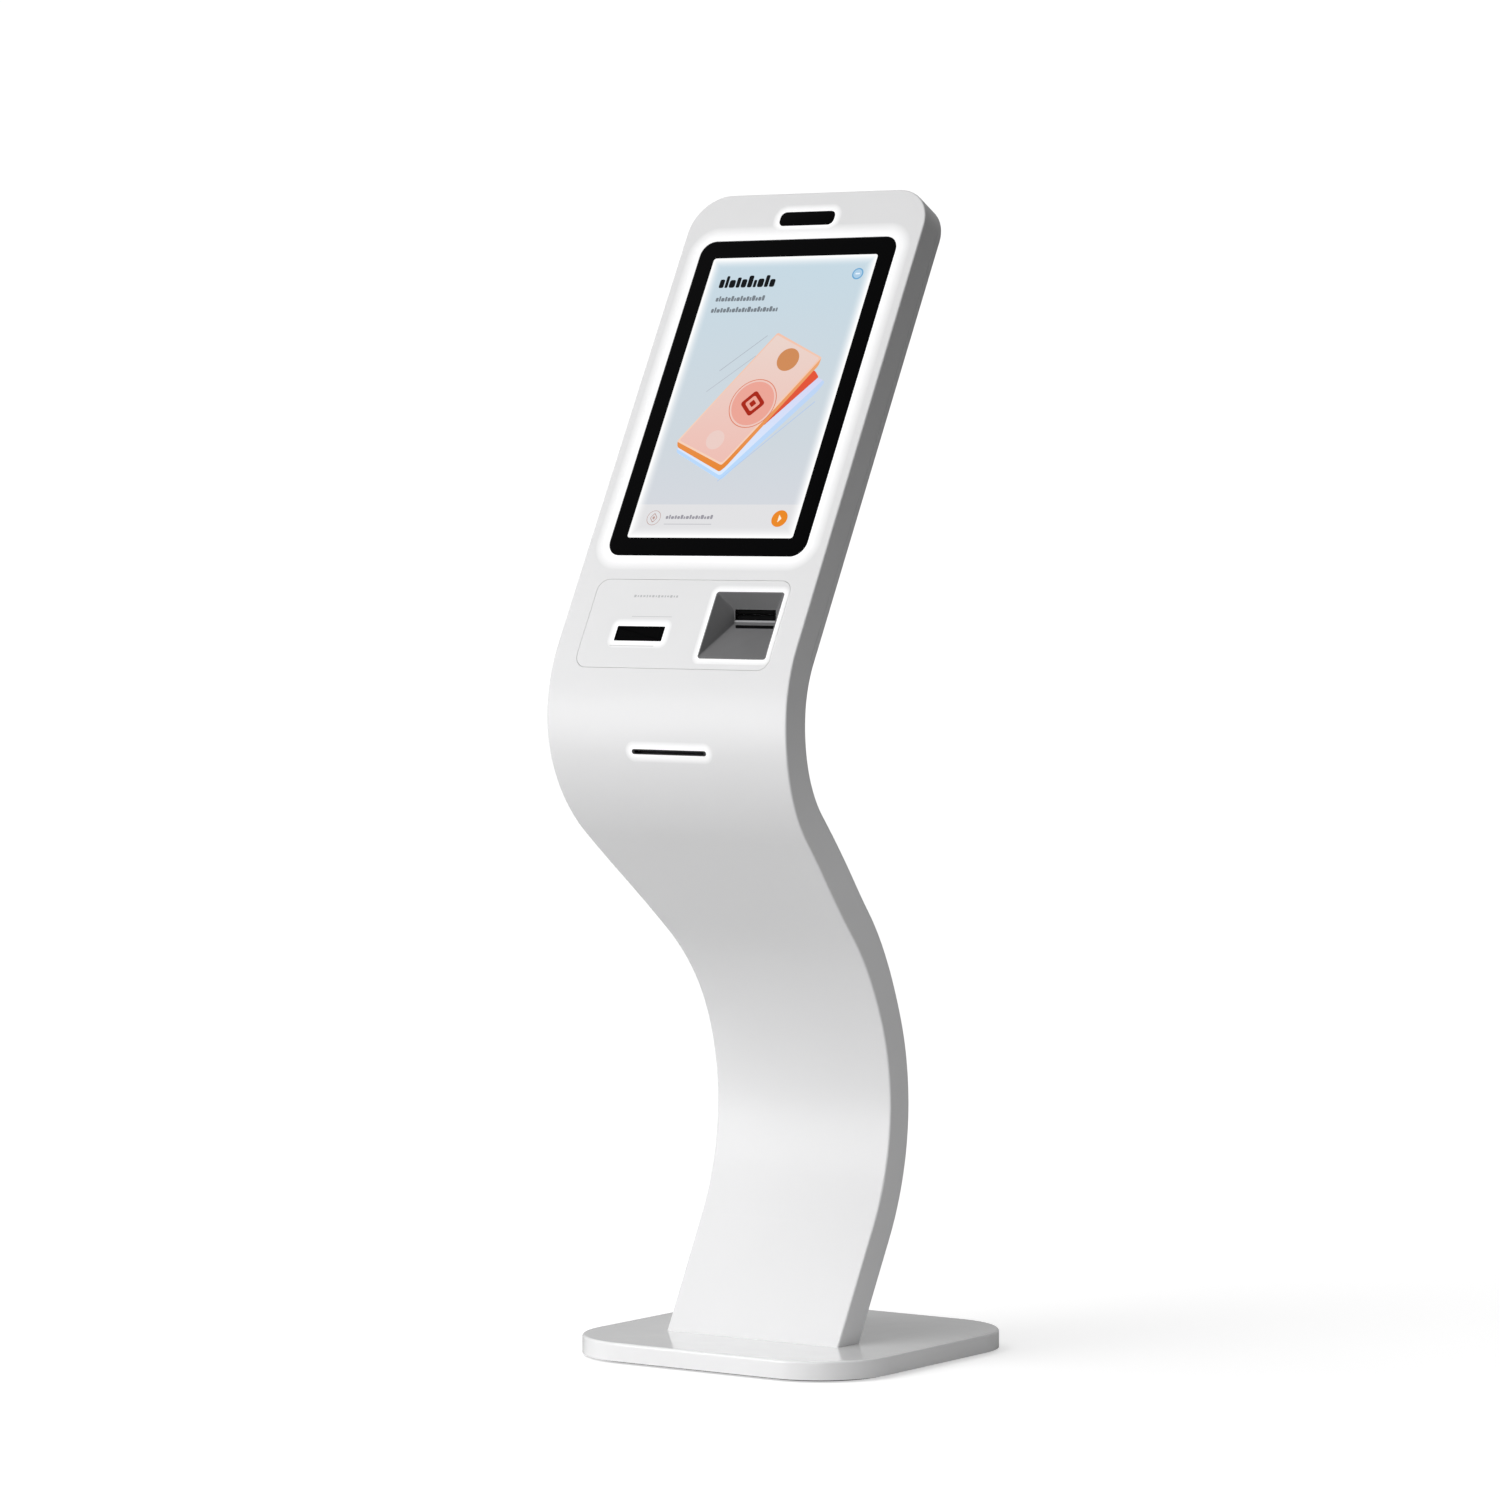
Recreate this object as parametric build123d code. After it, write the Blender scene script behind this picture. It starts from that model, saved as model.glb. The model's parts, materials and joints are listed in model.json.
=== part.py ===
"""Floor-standing self-service cash kiosk: an S-shaped thin body on a flat base.

The frame is +Z up, +X to the user's right, and the user stands on the -Y side.
The origin is the centre of the base's underside. Lengths are in mm, angles in degrees.
"""

import os
from math import asin, cos, hypot, pi, radians, sin, tan

from build123d import *

# ------------------------------------------------------------------ driving dimensions
# Base
base_width = 480.0
base_depth = 463.0
base_height = 28.0
base_corner_radius = 110.0
base_edge_radius = 3.5
base_wall = 3.0
floor_gap = 3.0  # shadow gap under the cover's rim
base_plate_thickness = 8.0
base_plate_inset = 12.0
standoff_diameter = 16.0
standoff_inset = 70.0  # from the base's sides to the standoffs' axes
rail_slot_gap = 1.0  # round each rail, where it passes through the base's cover
anchor_hole_diameter = 12.0
anchor_spacing_x = 360.0
anchor_spacing_y = 340.0

# Side profile of the front surface, from the foot up: straight, arc, straight, arc, straight
foot_setback = 135.9  # from the base's front edge to the body's front surface
foot_straight = 176.5
foot_lean = 28.6  # backwards
calf_radius = 325.0
neck_straight = 204.8
neck_lean = 47.5  # forwards
chin_radius = 213.0
head_straight = 695.6
head_tilt = 28.2  # backwards
paper_roll_diameter = 32.0  # of the receipt printer, the thickest thing in the body
roll_room = 14.0  # in the body's thickness, for its walls, the printer's tray and the gaps
body_thickness = paper_roll_diameter + roll_room

# Outline of the body from the front
head_width = 390.5
waist_width = 292.0
foot_width = 282.0
shoulder_height = 768.6
waist_height = 559.7
shoulder_radius = 1000.0
shoulder_run_share = 0.54  # most of the straight side that the shoulder's rounding may use
waist_radius = 870.0
waist_run_share = 0.455
head_corner_radius = 58.0
edge_radius = 2.5

# Walls of the body
front_wall = 3.0
side_wall = 3.0
rear_wall = 3.0
door_wall = 2.0
door_rim = 10.6  # depth of the rear door's tray, seen on the head's side
running_gap = 0.3  # between a moving piece and its neighbour
fit_gap = 0.1  # round a shaft or a seated insert
seam = 0.6  # open joint round the flush faceplate
past = 1.0  # how far a cutting form runs past the surface it cuts

# Display
glass_width = 323.0
glass_height = 487.8
glass_corner_radius = 22.0
glass_drop = 73.7  # from the head's top edge to the glass
glass_thickness = 3.0
lcd_margin = 18.0  # from the glass edge to the panel module, all round
lcd_thickness = 9.0
bar_height = 22.0
bar_thickness = 4.0
bar_offset_share = 0.36  # from the glass's middle to each bar, as a share of the glass's height

# Camera
camera_drop = 41.3
camera_window_width = 90.0
camera_window_height = 22.0
camera_window_radius = 9.0
window_thickness = 2.5
camera_board_width = 76.0
camera_board_height = 18.0
camera_board_gap = 4.5  # from the window's back to the board
camera_lens_diameter = 14.0
camera_lens_gap = 0.5
camera_plug_width = 10.0
camera_plug_height = 8.0
camera_plug_depth = 4.0

# Faceplate with the reader window and the cash pocket
faceplate_gap = 36.6  # from the glass to the faceplate
faceplate_width = 314.0
faceplate_height = 130.6
faceplate_corner_radius = 17.0
reader_x = -65.0
reader_drop = 80.8  # from the faceplate's top edge to the window's centre
reader_width = 78.0
reader_height = 22.0
reader_radius = 1.5
reader_recess = 0.2
reader_module_height = 32.0
reader_module_depth = 23.0
reader_module_gap = 1.0  # behind the faceplate

# Cash pocket: a funnel from the faceplate down to an upright back wall with the note slot
pocket_x = 95.2
pocket_drop = 18.2  # from the faceplate's top edge
pocket_width = 106.4
pocket_height = 96.0
pocket_wall = 1.5
pocket_corner_radius = 3.0
pocket_back_radius = 1.0
pocket_lip_overrun = 1.0  # past the faceplate's inner side
pocket_back_width = 68.0
pocket_back_height = 19.5
pocket_back_drop = 40.5  # from the faceplate's top edge to the back wall's middle
pocket_back_depth = 24.5  # from the face to the back wall's middle
note_slot_width = 66.0
note_slot_height = 15.0
note_slot_edge = 0.3  # trim of the slot's top and bottom, left against the funnel's walls
drain_width = 57.0  # dark gap across the pocket's floor, in front of the back wall
drain_length = 4.2
drain_setback = 2.6
drain_x = 4.0

# Note transport behind the pocket
shutter_thickness = 1.0
shutter_overlap = 1.0
cheek_thickness = 2.0
cheek_door_gap = 1.5
roller_diameter = 9.2
roller_end_gap = 2.0
roller_shaft_diameter = 3.0
roller_shaft_end = 0.5  # past the cheek's outer side
note_gap = 0.4
roller_standoff = 7.0  # from the back wall to the rollers' axes
motor_diameter = 12.0
motor_length = 16.0
motor_gap = 0.8
motor_lift = 2.0
cassette_width = 100.0
cassette_height = 180.0
cassette_depth = 25.0
cassette_gap = 1.0  # behind the display's bars
cassette_chamfer = 4.0
cassette_mouth_height = 3.0
cassette_mouth_depth = 4.0
cassette_rise = 64.0  # from the faceplate's top edge up to the cassette's foot, less the pocket

# Receipt printer in the chin
receipt_drop = 146.0  # along the surface, from the head's straight to the slot
receipt_x = 4.0
receipt_width = 121.0
receipt_height = 7.0
receipt_opening_width = 113.0
receipt_opening_height = 4.2
receipt_flange = 4.5
receipt_flange_gap = 0.4  # behind the skin
receipt_flange_thickness = 2.0
bezel_depth = 8.0
paper_width = 112.0
paper_core_diameter = 12.0
roll_distance = 52.0  # along the body, from the slot down to the roll
spindle_overrun = 1.0
bracket_setback = 6.0  # behind the skin's inner side
bracket_tray_gap = 0.8
bracket_margin = 4.0  # round the roll's core
platen_diameter = 12.0
platen_shaft_diameter = 5.0
platen_shaft_end = 1.0
platen_margin = 1.0  # past each edge of the paper
platen_gap = 1.5  # behind the blade
paper_path = 0.2  # from the slot's middle line down to the platen
blade_travel = 6.0
blade_height = 9.0
blade_thickness = 1.0
blade_margin = 3.0  # past each edge of the paper
blade_clearance = 0.2  # above the slot
print_strip_gap = 1.0  # behind the blade
print_strip_low = 0.3
print_strip_thickness = 2.0
print_sink_gap = 4.0  # behind the blade
print_sink_low = 2.05
print_sink_thickness = 6.5
print_sink_setback = 2.0
printer_cheek = 2.0
printer_height = 32.0
printer_margin = 3.0  # behind the platen
tray_thickness = 2.0
tray_gap = 1.0  # in front of the rear cover
tray_margin = 6.0  # above the printer

# Structure
rail_offset = 126.0  # from the middle to each spine rail's centre
rail_width = 12.0
rail_front_depth = 8.0
rail_back_gap = 0.2  # in front of the rear cover
crossbar_drop = 59.0  # along the surface, from the head's straight to the crossbar's middle
crossbar_thickness = 6.0
crossbar_depth = 20.0
head_rail_width = 12.0
head_rail_depth = 22.0
head_rail_gap = 2.0  # from the side wall
flange_thickness = 8.0
flange_margin = 24.0
flange_bolt_diameter = 10.0
flange_bolt_head = 17.0
flange_bolt_head_height = 6.4
flange_bolt_side_inset = 17.0
flange_bolt_end_inset = 11.0
flange_bolt_floor_gap = 1.0

# Rear door, hinges and lock
hinge_radius = 3.0
hinge_pin_radius = 1.5
hinge_side_gap = 0.05
hinge_pin_head = 1.0
hinge_pin_head_radius = 2.6
hinge_leaf_reach = 7.0
knuckle_length = 14.0
hinge_drops = (110.0, 585.0)
lock_drop = 350.0
lock_inset = 30.0  # from the body's side to the lock's axis
lock_barrel_diameter = 18.0
lock_plug_diameter = 12.0
lock_barrel_length = 10.0  # in front of the door's wall
lock_collar = 2.5
lock_collar_thickness = 1.5
lock_cam_length = 24.0
lock_cam_width = 8.0
lock_cam_thickness = 2.0
lock_key_slot_width = 2.0
lock_key_slot_length = 7.0
lock_key_slot_depth = 2.5
lock_strike_overlap = 6.0
lock_strike_gap = 0.2
vent_width = 90.0
vent_height = 3.0
vent_pitch = 8.0
vent_count = 8
vent_foot = 90.0  # from the door's foot to the lowest slot of the lower set

# Electronics
tray_sheet = 1.5
electronics_width = 190.0
electronics_left = -172.0
electronics_drop = glass_drop + (0.5 - bar_offset_share) * glass_height + 8.0
electronics_bottom = glass_drop + glass_height + 28.5
board_width = 150.0
board_height = 170.0
board_thickness = 1.6
board_margin = 10.0  # from the tray's top edge
board_standoff = 5.0
board_standoff_diameter = 6.0
board_hole_inset = 8.0
connector_width = 28.0
connector_height = 12.0
connector_depth = 10.0
connector_inset = 8.0
connector_shares = (-0.3, 0.0, 0.3)  # across the board
memory_width = 5.0
memory_height_share = 0.6
memory_depth = 12.0
memory_rise_share = 0.1
memory_shares = (0.32, 0.38)
sink_size = 60.0
sink_base = 2.0
sink_height = 8.0
sink_fins = 11
sink_fin_thickness = 2.0
sink_x_share = -0.12  # from the board's middle, as shares of its sides
sink_y_share = 0.18
fan_size = 50.0
fan_thickness = 9.0
fan_rim = 2.0
fan_floor = 1.5
fan_guard = 1.0
fan_hub_plate_diameter = 22.0
fan_hub_diameter = 20.0
fan_hub_end_gap = 0.3
fan_hub_roof = 0.8
fan_arm_width = 3.0
fan_pin_diameter = 3.0
fan_pin_end_gap = 1.0
fan_tip_gap = 0.6
fan_blades = 7
fan_blade_root = 9.0
fan_blade_shift = 4.0
fan_blade_width = 6.5
fan_blade_thickness = 1.0
fan_blade_pitch = 35.0
supply_width = 100.0
supply_height = 155.0
supply_depth = 24.0
supply_margin_x = 8.0
supply_margin_y = 15.0
supply_vents = 9
supply_vent_pitch = 8.0
supply_vent_height = 3.0
supply_vent_share = 0.6
supply_vent_depth = 1.0

# Mains inlet and the cable held inside the leg
inlet_x = -75.0
inlet_station = 60.0  # along the body, from the base
inlet_width = 27.0
inlet_height = 20.0
inlet_depth = 22.0
inlet_flange = 3.0
inlet_flange_thickness = 2.0
inlet_socket_width = 23.0
inlet_socket_height = 16.0
inlet_socket_depth = 17.0
inlet_pin_width = 2.0
inlet_pin_height = 4.0
inlet_pin_setback = 9.0
inlet_pins = ((-7.0, -1.5), (0.0, 2.5), (7.0, -1.5))
cable_diameter = 6.0
cable_depth = 32.0

# Rear cover screws
screw_head_diameter = 8.0
screw_head_height = 2.5
screw_diameter = 4.0
screw_length = 10.0
screw_end_gap = 0.5
screw_head_rounding = 0.8
screw_drive_diameter = 2.5
screw_drive_depth = 1.5
screw_stations = (40.0, 330.0, 700.0)

# ------------------------------------------------------------------ the body's side profile
profile = [
    (foot_straight, foot_lean, foot_lean),
    (calf_radius * radians(foot_lean + neck_lean), foot_lean, -neck_lean),
    (neck_straight, -neck_lean, -neck_lean),
    (chin_radius * radians(neck_lean + head_tilt), -neck_lean, head_tilt),
    (head_straight, head_tilt, head_tilt),
]
stations = [0.0]
for length, _, _ in profile:
    stations.append(stations[-1] + length)
head_start = stations[4]
head_top = stations[5]
below_base = -2.0 * base_height  # a station under the base, for pieces trimmed flat there


def surface(station, depth=0.0):
    """Y, Z and lean (in radians) at a distance along the front surface and a depth behind it."""
    y = foot_setback - base_depth / 2
    z = base_height
    lean = radians(profile[0][1])
    for index, (length, start_lean, end_lean) in enumerate(profile):
        run = station - stations[index]
        if index > 0 and run <= 0:
            break
        if index < len(profile) - 1:
            run = min(run, length)
        start = radians(start_lean)
        turn = radians(end_lean - start_lean) / length
        lean = start + turn * run
        if turn == 0:
            y += run * sin(start)
            z += run * cos(start)
        else:
            y += (cos(start) - cos(lean)) / turn
            z += (sin(lean) - sin(start)) / turn
    return y + depth * cos(lean), z - depth * sin(lean), lean


def spot(station, depth, x=0.0):
    y, z, _ = surface(station, depth)
    return Vector(x, y, z)


def surface_plane(station, x=0.0):
    """Plane on the front surface: local X across, local Y up the surface, local Z outwards."""
    y, z, lean = surface(station)
    return Plane(origin=(x, y, z), x_dir=(1, 0, 0), z_dir=(0, -cos(lean), sin(lean)))


def profile_path(start, end, depth, x=0.0):
    """Tangent lines and arcs that follow the body at one depth."""
    inner = [s for s in stations[1:5] if min(start, end) < s < max(start, end)]
    stops = sorted([start, *inner, end], reverse=end < start)
    pieces = []
    for a, b in zip(stops, stops[1:]):
        middle = (a + b) / 2
        index = max(i for i in range(5) if i == 0 or stations[i] <= middle)
        ends = spot(a, depth, x), spot(b, depth, x)
        if profile[index][1] == profile[index][2]:
            pieces.append(Line(*ends))
        else:
            pieces.append(ThreePointArc(ends[0], spot(middle, depth, x), ends[1]))
    return pieces


def band(front_depth, back_depth, start, end, x_low, x_high):
    """Solid between two depths and two stations, and between two sides."""
    outline = profile_path(start, end, front_depth, x_low)
    outline.append(Line(spot(end, front_depth, x_low), spot(end, back_depth, x_low)))
    outline += profile_path(end, start, back_depth, x_low)
    outline.append(Line(spot(start, back_depth, x_low), spot(start, front_depth, x_low)))
    return extrude(make_face(outline), amount=x_high - x_low, dir=(1, 0, 0))


# ------------------------------------------------------------------ small helpers
far = 4 * (base_width + base_depth + stations[5])


def above(height):
    return Pos(0, 0, height + far / 2) * Box(far, far, far)


def side_of(sign):
    return Pos(sign * far / 2, 0, 0) * Box(far, far, far)


def block(plane, x, y, depth_low, depth_high, width, height):
    """Box in a surface plane, centred at x and y, from one depth to another."""
    middle = -(depth_low + depth_high) / 2
    return plane.location * Pos(x, y, middle) * Box(width, height, depth_high - depth_low)


def rounded(plane, x, y, depth_low, depth_high, width, height, radius):
    """Round-cornered slab in a surface plane, from one depth to another."""
    slab = extrude(RectangleRounded(width, height, radius), amount=depth_high - depth_low)
    return plane.location * Pos(x, y, -depth_high) * slab


def rod(plane, x, y, depth_low, depth_high, diameter):
    """Round bar across the depth of a surface plane."""
    middle = -(depth_low + depth_high) / 2
    return plane.location * Pos(x, y, middle) * Cylinder(diameter / 2, depth_high - depth_low)


def cross_rod(center, diameter, length):
    """Round bar along X, centred on a point."""
    return Pos(*center) * Rot(0, 90, 0) * Cylinder(diameter / 2, length)


def blend(wanted, run, share, turn):
    """Fillet radius that stays on its share of the run beside the corner."""
    return min(wanted, share * run / tan(abs(turn) / 2))


def outline_prism(inset):
    """Front outline of the body as a prism along Y, with its sides moved inwards by the inset."""
    high = stations[5] + base_height
    low = -base_height
    half_head = head_width / 2 - inset
    half_waist = waist_width / 2 - inset
    half_foot = foot_width / 2 - inset
    taper = asin((half_head - half_waist) / hypot(half_head - half_waist, shoulder_height - waist_height))
    leg = asin((half_waist - half_foot) / hypot(half_waist - half_foot, waist_height - low))
    run = hypot(half_head - half_waist, shoulder_height - waist_height)
    radii = [
        blend(shoulder_radius, run, shoulder_run_share, taper),
        blend(waist_radius, run, waist_run_share, taper - leg),
    ]
    corners = [
        (half_head, high),
        (half_head, shoulder_height),
        (half_waist, waist_height),
        (half_foot, low),
    ]
    right = FilletPolyline(*corners, radius=radii)
    left = mirror(right, about=Plane.YZ)
    ends = [Line((half_head, high), (-half_head, high)), Line((half_foot, low), (-half_foot, low))]
    return extrude(Plane.XZ * make_face([right, left, *ends]), amount=far / 4, both=True)


def round_head(solid, radius):
    """Rounds the two top corners of the head."""
    across = Vector(0, cos(radians(head_tilt)), -sin(radians(head_tilt)))
    top = spot(head_top, body_thickness).Z - 2 * head_corner_radius
    corners = [
        edge
        for edge in solid.edges().filter_by(GeomType.LINE)
        if abs(abs((edge @ 1 - edge @ 0).normalized().dot(across)) - 1) < 1e-6 and (edge @ 0.5).Z > top
    ]
    return fillet(corners, radius)


def slab_of(front_depth, back_depth, start, end):
    return band(front_depth, back_depth, start, end, -far / 8, far / 8)


# ------------------------------------------------------------------ the whole outer body
def outer_body():
    """Closed outer form of the body, with rounded edges, standing on the base's top face."""
    form = slab_of(0, body_thickness, below_base, head_top) & outline_prism(0) & above(base_height)
    form = round_head(form, head_corner_radius)
    rims = []
    for edge in form.edges():
        middle = edge @ 0.5
        if middle.Z < base_height + 1e-3:
            continue
        faces = [face for face in form.faces() if face.distance_to(middle) < 1e-5]
        sideways = [abs(face.normal_at(middle).X) for face in faces]
        if len(faces) == 2 and min(sideways) < 1e-6 and faces_turn(faces, middle):
            rims.append(edge)
    return fillet(rims, edge_radius)


def faces_turn(faces, point):
    """True where two faces meet at a real corner rather than run on smoothly."""
    return abs(faces[0].normal_at(point).dot(faces[1].normal_at(point))) < 0.9


def cavity(inset):
    """Inside of the body's side walls, open at the foot, front and rear."""
    form = slab_of(-past, body_thickness + past, below_base, head_top - inset) & outline_prism(inset)
    return round_head(form, head_corner_radius - inset)


body = outer_body()
face = surface_plane(head_top)  # the head's flat face, from its top edge
glass_middle = -(glass_drop + glass_height / 2)
faceplate_top = -(glass_drop + glass_height + faceplate_gap)
faceplate_middle = faceplate_top - faceplate_height / 2
receipt_station = head_start - receipt_drop
receipt_plane = surface_plane(receipt_station, receipt_x)
pieces = {}


# ------------------------------------------------------------------ base
def make_base():
    cover = extrude(RectangleRounded(base_width, base_depth, base_corner_radius), base_height - floor_gap)
    cover = fillet(cover.edges().group_by(Axis.Z)[-1], base_edge_radius)
    inner = extrude(
        RectangleRounded(
            base_width - 2 * base_wall,
            base_depth - 2 * base_wall,
            base_corner_radius - base_wall,
        ),
        base_height - floor_gap - base_wall,
    )
    cover = Pos(0, 0, floor_gap) * (cover - inner)
    for sign in (-1, 1):
        middle = sign * rail_offset
        half = rail_width / 2 + rail_slot_gap
        cover -= band(
            rail_front_depth - rail_slot_gap, body_thickness - rear_wall + rail_slot_gap / 2,
            below_base, head_start, middle - half, middle + half,
        )
    plate = extrude(
        RectangleRounded(
            base_width - 2 * base_plate_inset,
            base_depth - 2 * base_plate_inset,
            base_corner_radius - base_plate_inset,
        ),
        base_plate_thickness,
    )
    for hole in GridLocations(anchor_spacing_x, anchor_spacing_y, 2, 2):
        plate -= hole * Cylinder(anchor_hole_diameter / 2, 4 * base_plate_thickness)
    posts = []
    post_height = base_height - base_wall - base_plate_thickness
    across = base_width - 2 * standoff_inset
    along = base_depth - 2 * standoff_inset
    for place in GridLocations(across, along / 2, 2, 2):
        post = Pos(0, 0, base_plate_thickness + post_height / 2) * Cylinder(standoff_diameter / 2, post_height)
        posts.append(place * post)

    flange_top = base_plate_thickness + flange_thickness
    front = foot_setback - base_depth / 2 - (base_height - flange_top) * tan(radians(foot_lean))
    span = body_thickness / cos(radians(foot_lean))
    flange_y = front + span / 2
    flange_width = 2 * (rail_offset + rail_width / 2)
    flange_length = span + 2 * flange_margin
    flange = Pos(0, flange_y, flange_top - flange_thickness / 2) * Box(
        flange_width, flange_length, flange_thickness
    )
    spread_x = flange_width - 2 * flange_bolt_side_inset
    spread_y = flange_length - 2 * flange_bolt_end_inset
    bolts = []
    for place in GridLocations(spread_x, spread_y, 2, 2):
        axis = Pos(0, flange_y, 0) * place
        hole = Cylinder(flange_bolt_diameter / 2 + fit_gap, 4 * flange_top)
        flange -= axis * hole
        plate -= axis * hole
        head = extrude(RegularPolygon(flange_bolt_head / 2, 6, major_radius=False), flange_bolt_head_height)
        shank_length = flange_top - flange_bolt_floor_gap
        shank = Pos(0, 0, -shank_length / 2) * Cylinder(flange_bolt_diameter / 2, shank_length)
        bolts.append(axis * Pos(0, 0, flange_top) * (head + shank))
    pieces["base_cover"] = cover
    pieces["base_plate"] = plate
    pieces["base_standoffs"] = posts
    pieces["foot_flange"] = flange
    pieces["flange_bolts"] = bolts
    return flange_top


flange_top = make_base()


# ------------------------------------------------------------------ body shells
def make_shells():
    hollow = cavity(side_wall)
    skin = body & slab_of(-past, front_wall, below_base, head_top + past)
    opening = rounded(
        face, 0, glass_middle, -past, front_wall + past,
        glass_width + 2 * running_gap, glass_height + 2 * running_gap, glass_corner_radius + running_gap,
    )
    skin -= opening
    skin -= rounded(
        face, 0, -camera_drop, -past, front_wall + past,
        camera_window_width + 2 * fit_gap, camera_window_height + 2 * fit_gap, camera_window_radius,
    )
    panel = rounded(
        face, 0, faceplate_middle, -past, 2 * front_wall,
        faceplate_width, faceplate_height, faceplate_corner_radius,
    )
    faceplate = skin & panel
    skin -= rounded(
        face, 0, faceplate_middle, -past, 2 * front_wall,
        faceplate_width + 2 * seam, faceplate_height + 2 * seam, faceplate_corner_radius + seam,
    )
    skin -= receipt_slug(fit_gap, -past, 2 * front_wall)
    faceplate -= rounded(
        face, reader_x, faceplate_top - reader_drop, -past, 2 * front_wall,
        reader_width + 2 * fit_gap, reader_height + 2 * fit_gap, reader_radius,
    )
    mouth_gap = pocket_wall + fit_gap
    faceplate -= rounded(
        face, pocket_x, pocket_face_middle(), -past, 2 * front_wall,
        pocket_width + 2 * mouth_gap, pocket_height + 2 * mouth_gap, pocket_corner_radius + mouth_gap,
    )
    door_depth = body_thickness - door_rim
    sides = body - slab_of(-past, front_wall, below_base, head_top + past) - hollow
    sides -= slab_of(body_thickness - rear_wall, body_thickness + past, below_base, head_start)
    sides -= slab_of(door_depth, body_thickness + past, head_start, head_top + past)
    cover = body & slab_of(body_thickness - rear_wall, body_thickness + past, below_base, head_start)
    door_foot = head_start + running_gap
    door = body & slab_of(door_depth + running_gap, body_thickness + past, door_foot, head_top + past)
    tray = cavity(door_wall) & slab_of(
        0, body_thickness - door_wall, door_foot + door_wall, head_top + past
    )
    door -= tray
    return skin, faceplate, sides, cover, door


def receipt_slug(grow, depth_low, depth_high):
    """The receipt slot's rounded form in the chin."""
    height = receipt_height + 2 * grow
    return rounded(
        receipt_plane, 0, 0, depth_low, depth_high,
        receipt_width + 2 * grow, height, height / 2 - 0.01,
    )


def pocket_face_middle():
    return faceplate_top - pocket_drop - pocket_height / 2


skin, faceplate, sides, rear_cover, door = make_shells()
pieces["front_skin"] = skin
pieces["side_panel_left"] = sides & side_of(-1)
pieces["side_panel_right"] = sides & side_of(1)


# ------------------------------------------------------------------ structure
def make_structure():
    bar_plane = surface_plane(head_start - crossbar_drop)
    past_crossbar = bar_plane.location * Pos(0, (far - crossbar_thickness) / 2, 0) * Box(far, far, far)
    rail_back = body_thickness - rear_wall - rail_back_gap
    for name, sign in (("left", -1), ("right", 1)):
        middle = sign * rail_offset
        rail = band(
            rail_front_depth, rail_back, below_base, head_start - crossbar_drop,
            middle - rail_width / 2, middle + rail_width / 2,
        )
        pieces[f"spine_rail_{name}"] = (rail & above(flange_top)) - past_crossbar
    pieces["neck_crossbar"] = block(
        bar_plane, 0, 0, rail_front_depth, rail_front_depth + crossbar_depth,
        head_width - 2 * side_wall, crossbar_thickness,
    )
    rail_x = head_width / 2 - side_wall - head_rail_width / 2 - head_rail_gap
    low = head_start - crossbar_drop + crossbar_thickness
    for name, sign in (("left", -1), ("right", 1)):
        middle = sign * rail_x
        pieces[f"head_rail_{name}"] = band(
            rail_front_depth, rail_front_depth + head_rail_depth, low, head_top - head_corner_radius,
            middle - head_rail_width / 2, middle + head_rail_width / 2,
        )
    return rail_x - head_rail_width / 2


inside_half = make_structure()


# ------------------------------------------------------------------ display and camera
def make_display():
    lcd_front = glass_thickness
    lcd_back = lcd_front + lcd_thickness
    pieces["touch_glass"] = rounded(
        face, 0, glass_middle, 0, glass_thickness, glass_width, glass_height, glass_corner_radius
    )
    pieces["lcd_module"] = block(
        face, 0, glass_middle, lcd_front, lcd_back,
        glass_width - 2 * lcd_margin, glass_height - 2 * lcd_margin,
    )
    for name, share in (("upper", bar_offset_share), ("lower", -bar_offset_share)):
        pieces[f"display_bar_{name}"] = block(
            face, 0, glass_middle + share * glass_height, lcd_back, lcd_back + bar_thickness,
            2 * inside_half, bar_height,
        )
    pieces["camera_window"] = rounded(
        face, 0, -camera_drop, 0, window_thickness,
        camera_window_width, camera_window_height, camera_window_radius - fit_gap,
    )
    board_front = window_thickness + camera_board_gap
    board = block(
        face, 0, -camera_drop, board_front, board_front + board_thickness,
        camera_board_width, camera_board_height,
    )
    barrel_front = window_thickness + camera_lens_gap
    barrel = rod(face, 0, -camera_drop, barrel_front, board_front, camera_lens_diameter)
    board_back = board_front + board_thickness
    plug = block(
        face, camera_board_width / 3, -camera_drop, board_back, board_back + camera_plug_depth,
        camera_plug_width, camera_plug_height,
    )
    pieces["camera_module"] = board + barrel + plug
    return lcd_back + bar_thickness


electronics_depth = make_display()


# ------------------------------------------------------------------ reader
def make_reader():
    middle = faceplate_top - reader_drop
    pieces["module_faceplate"] = faceplate
    pieces["reader_window"] = rounded(
        face, reader_x, middle, reader_recess, window_thickness, reader_width, reader_height, reader_radius
    )
    module_front = front_wall + reader_module_gap
    pieces["reader_module"] = block(
        face, reader_x, middle, module_front, module_front + reader_module_depth,
        reader_width, reader_module_height,
    )


make_reader()


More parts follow.
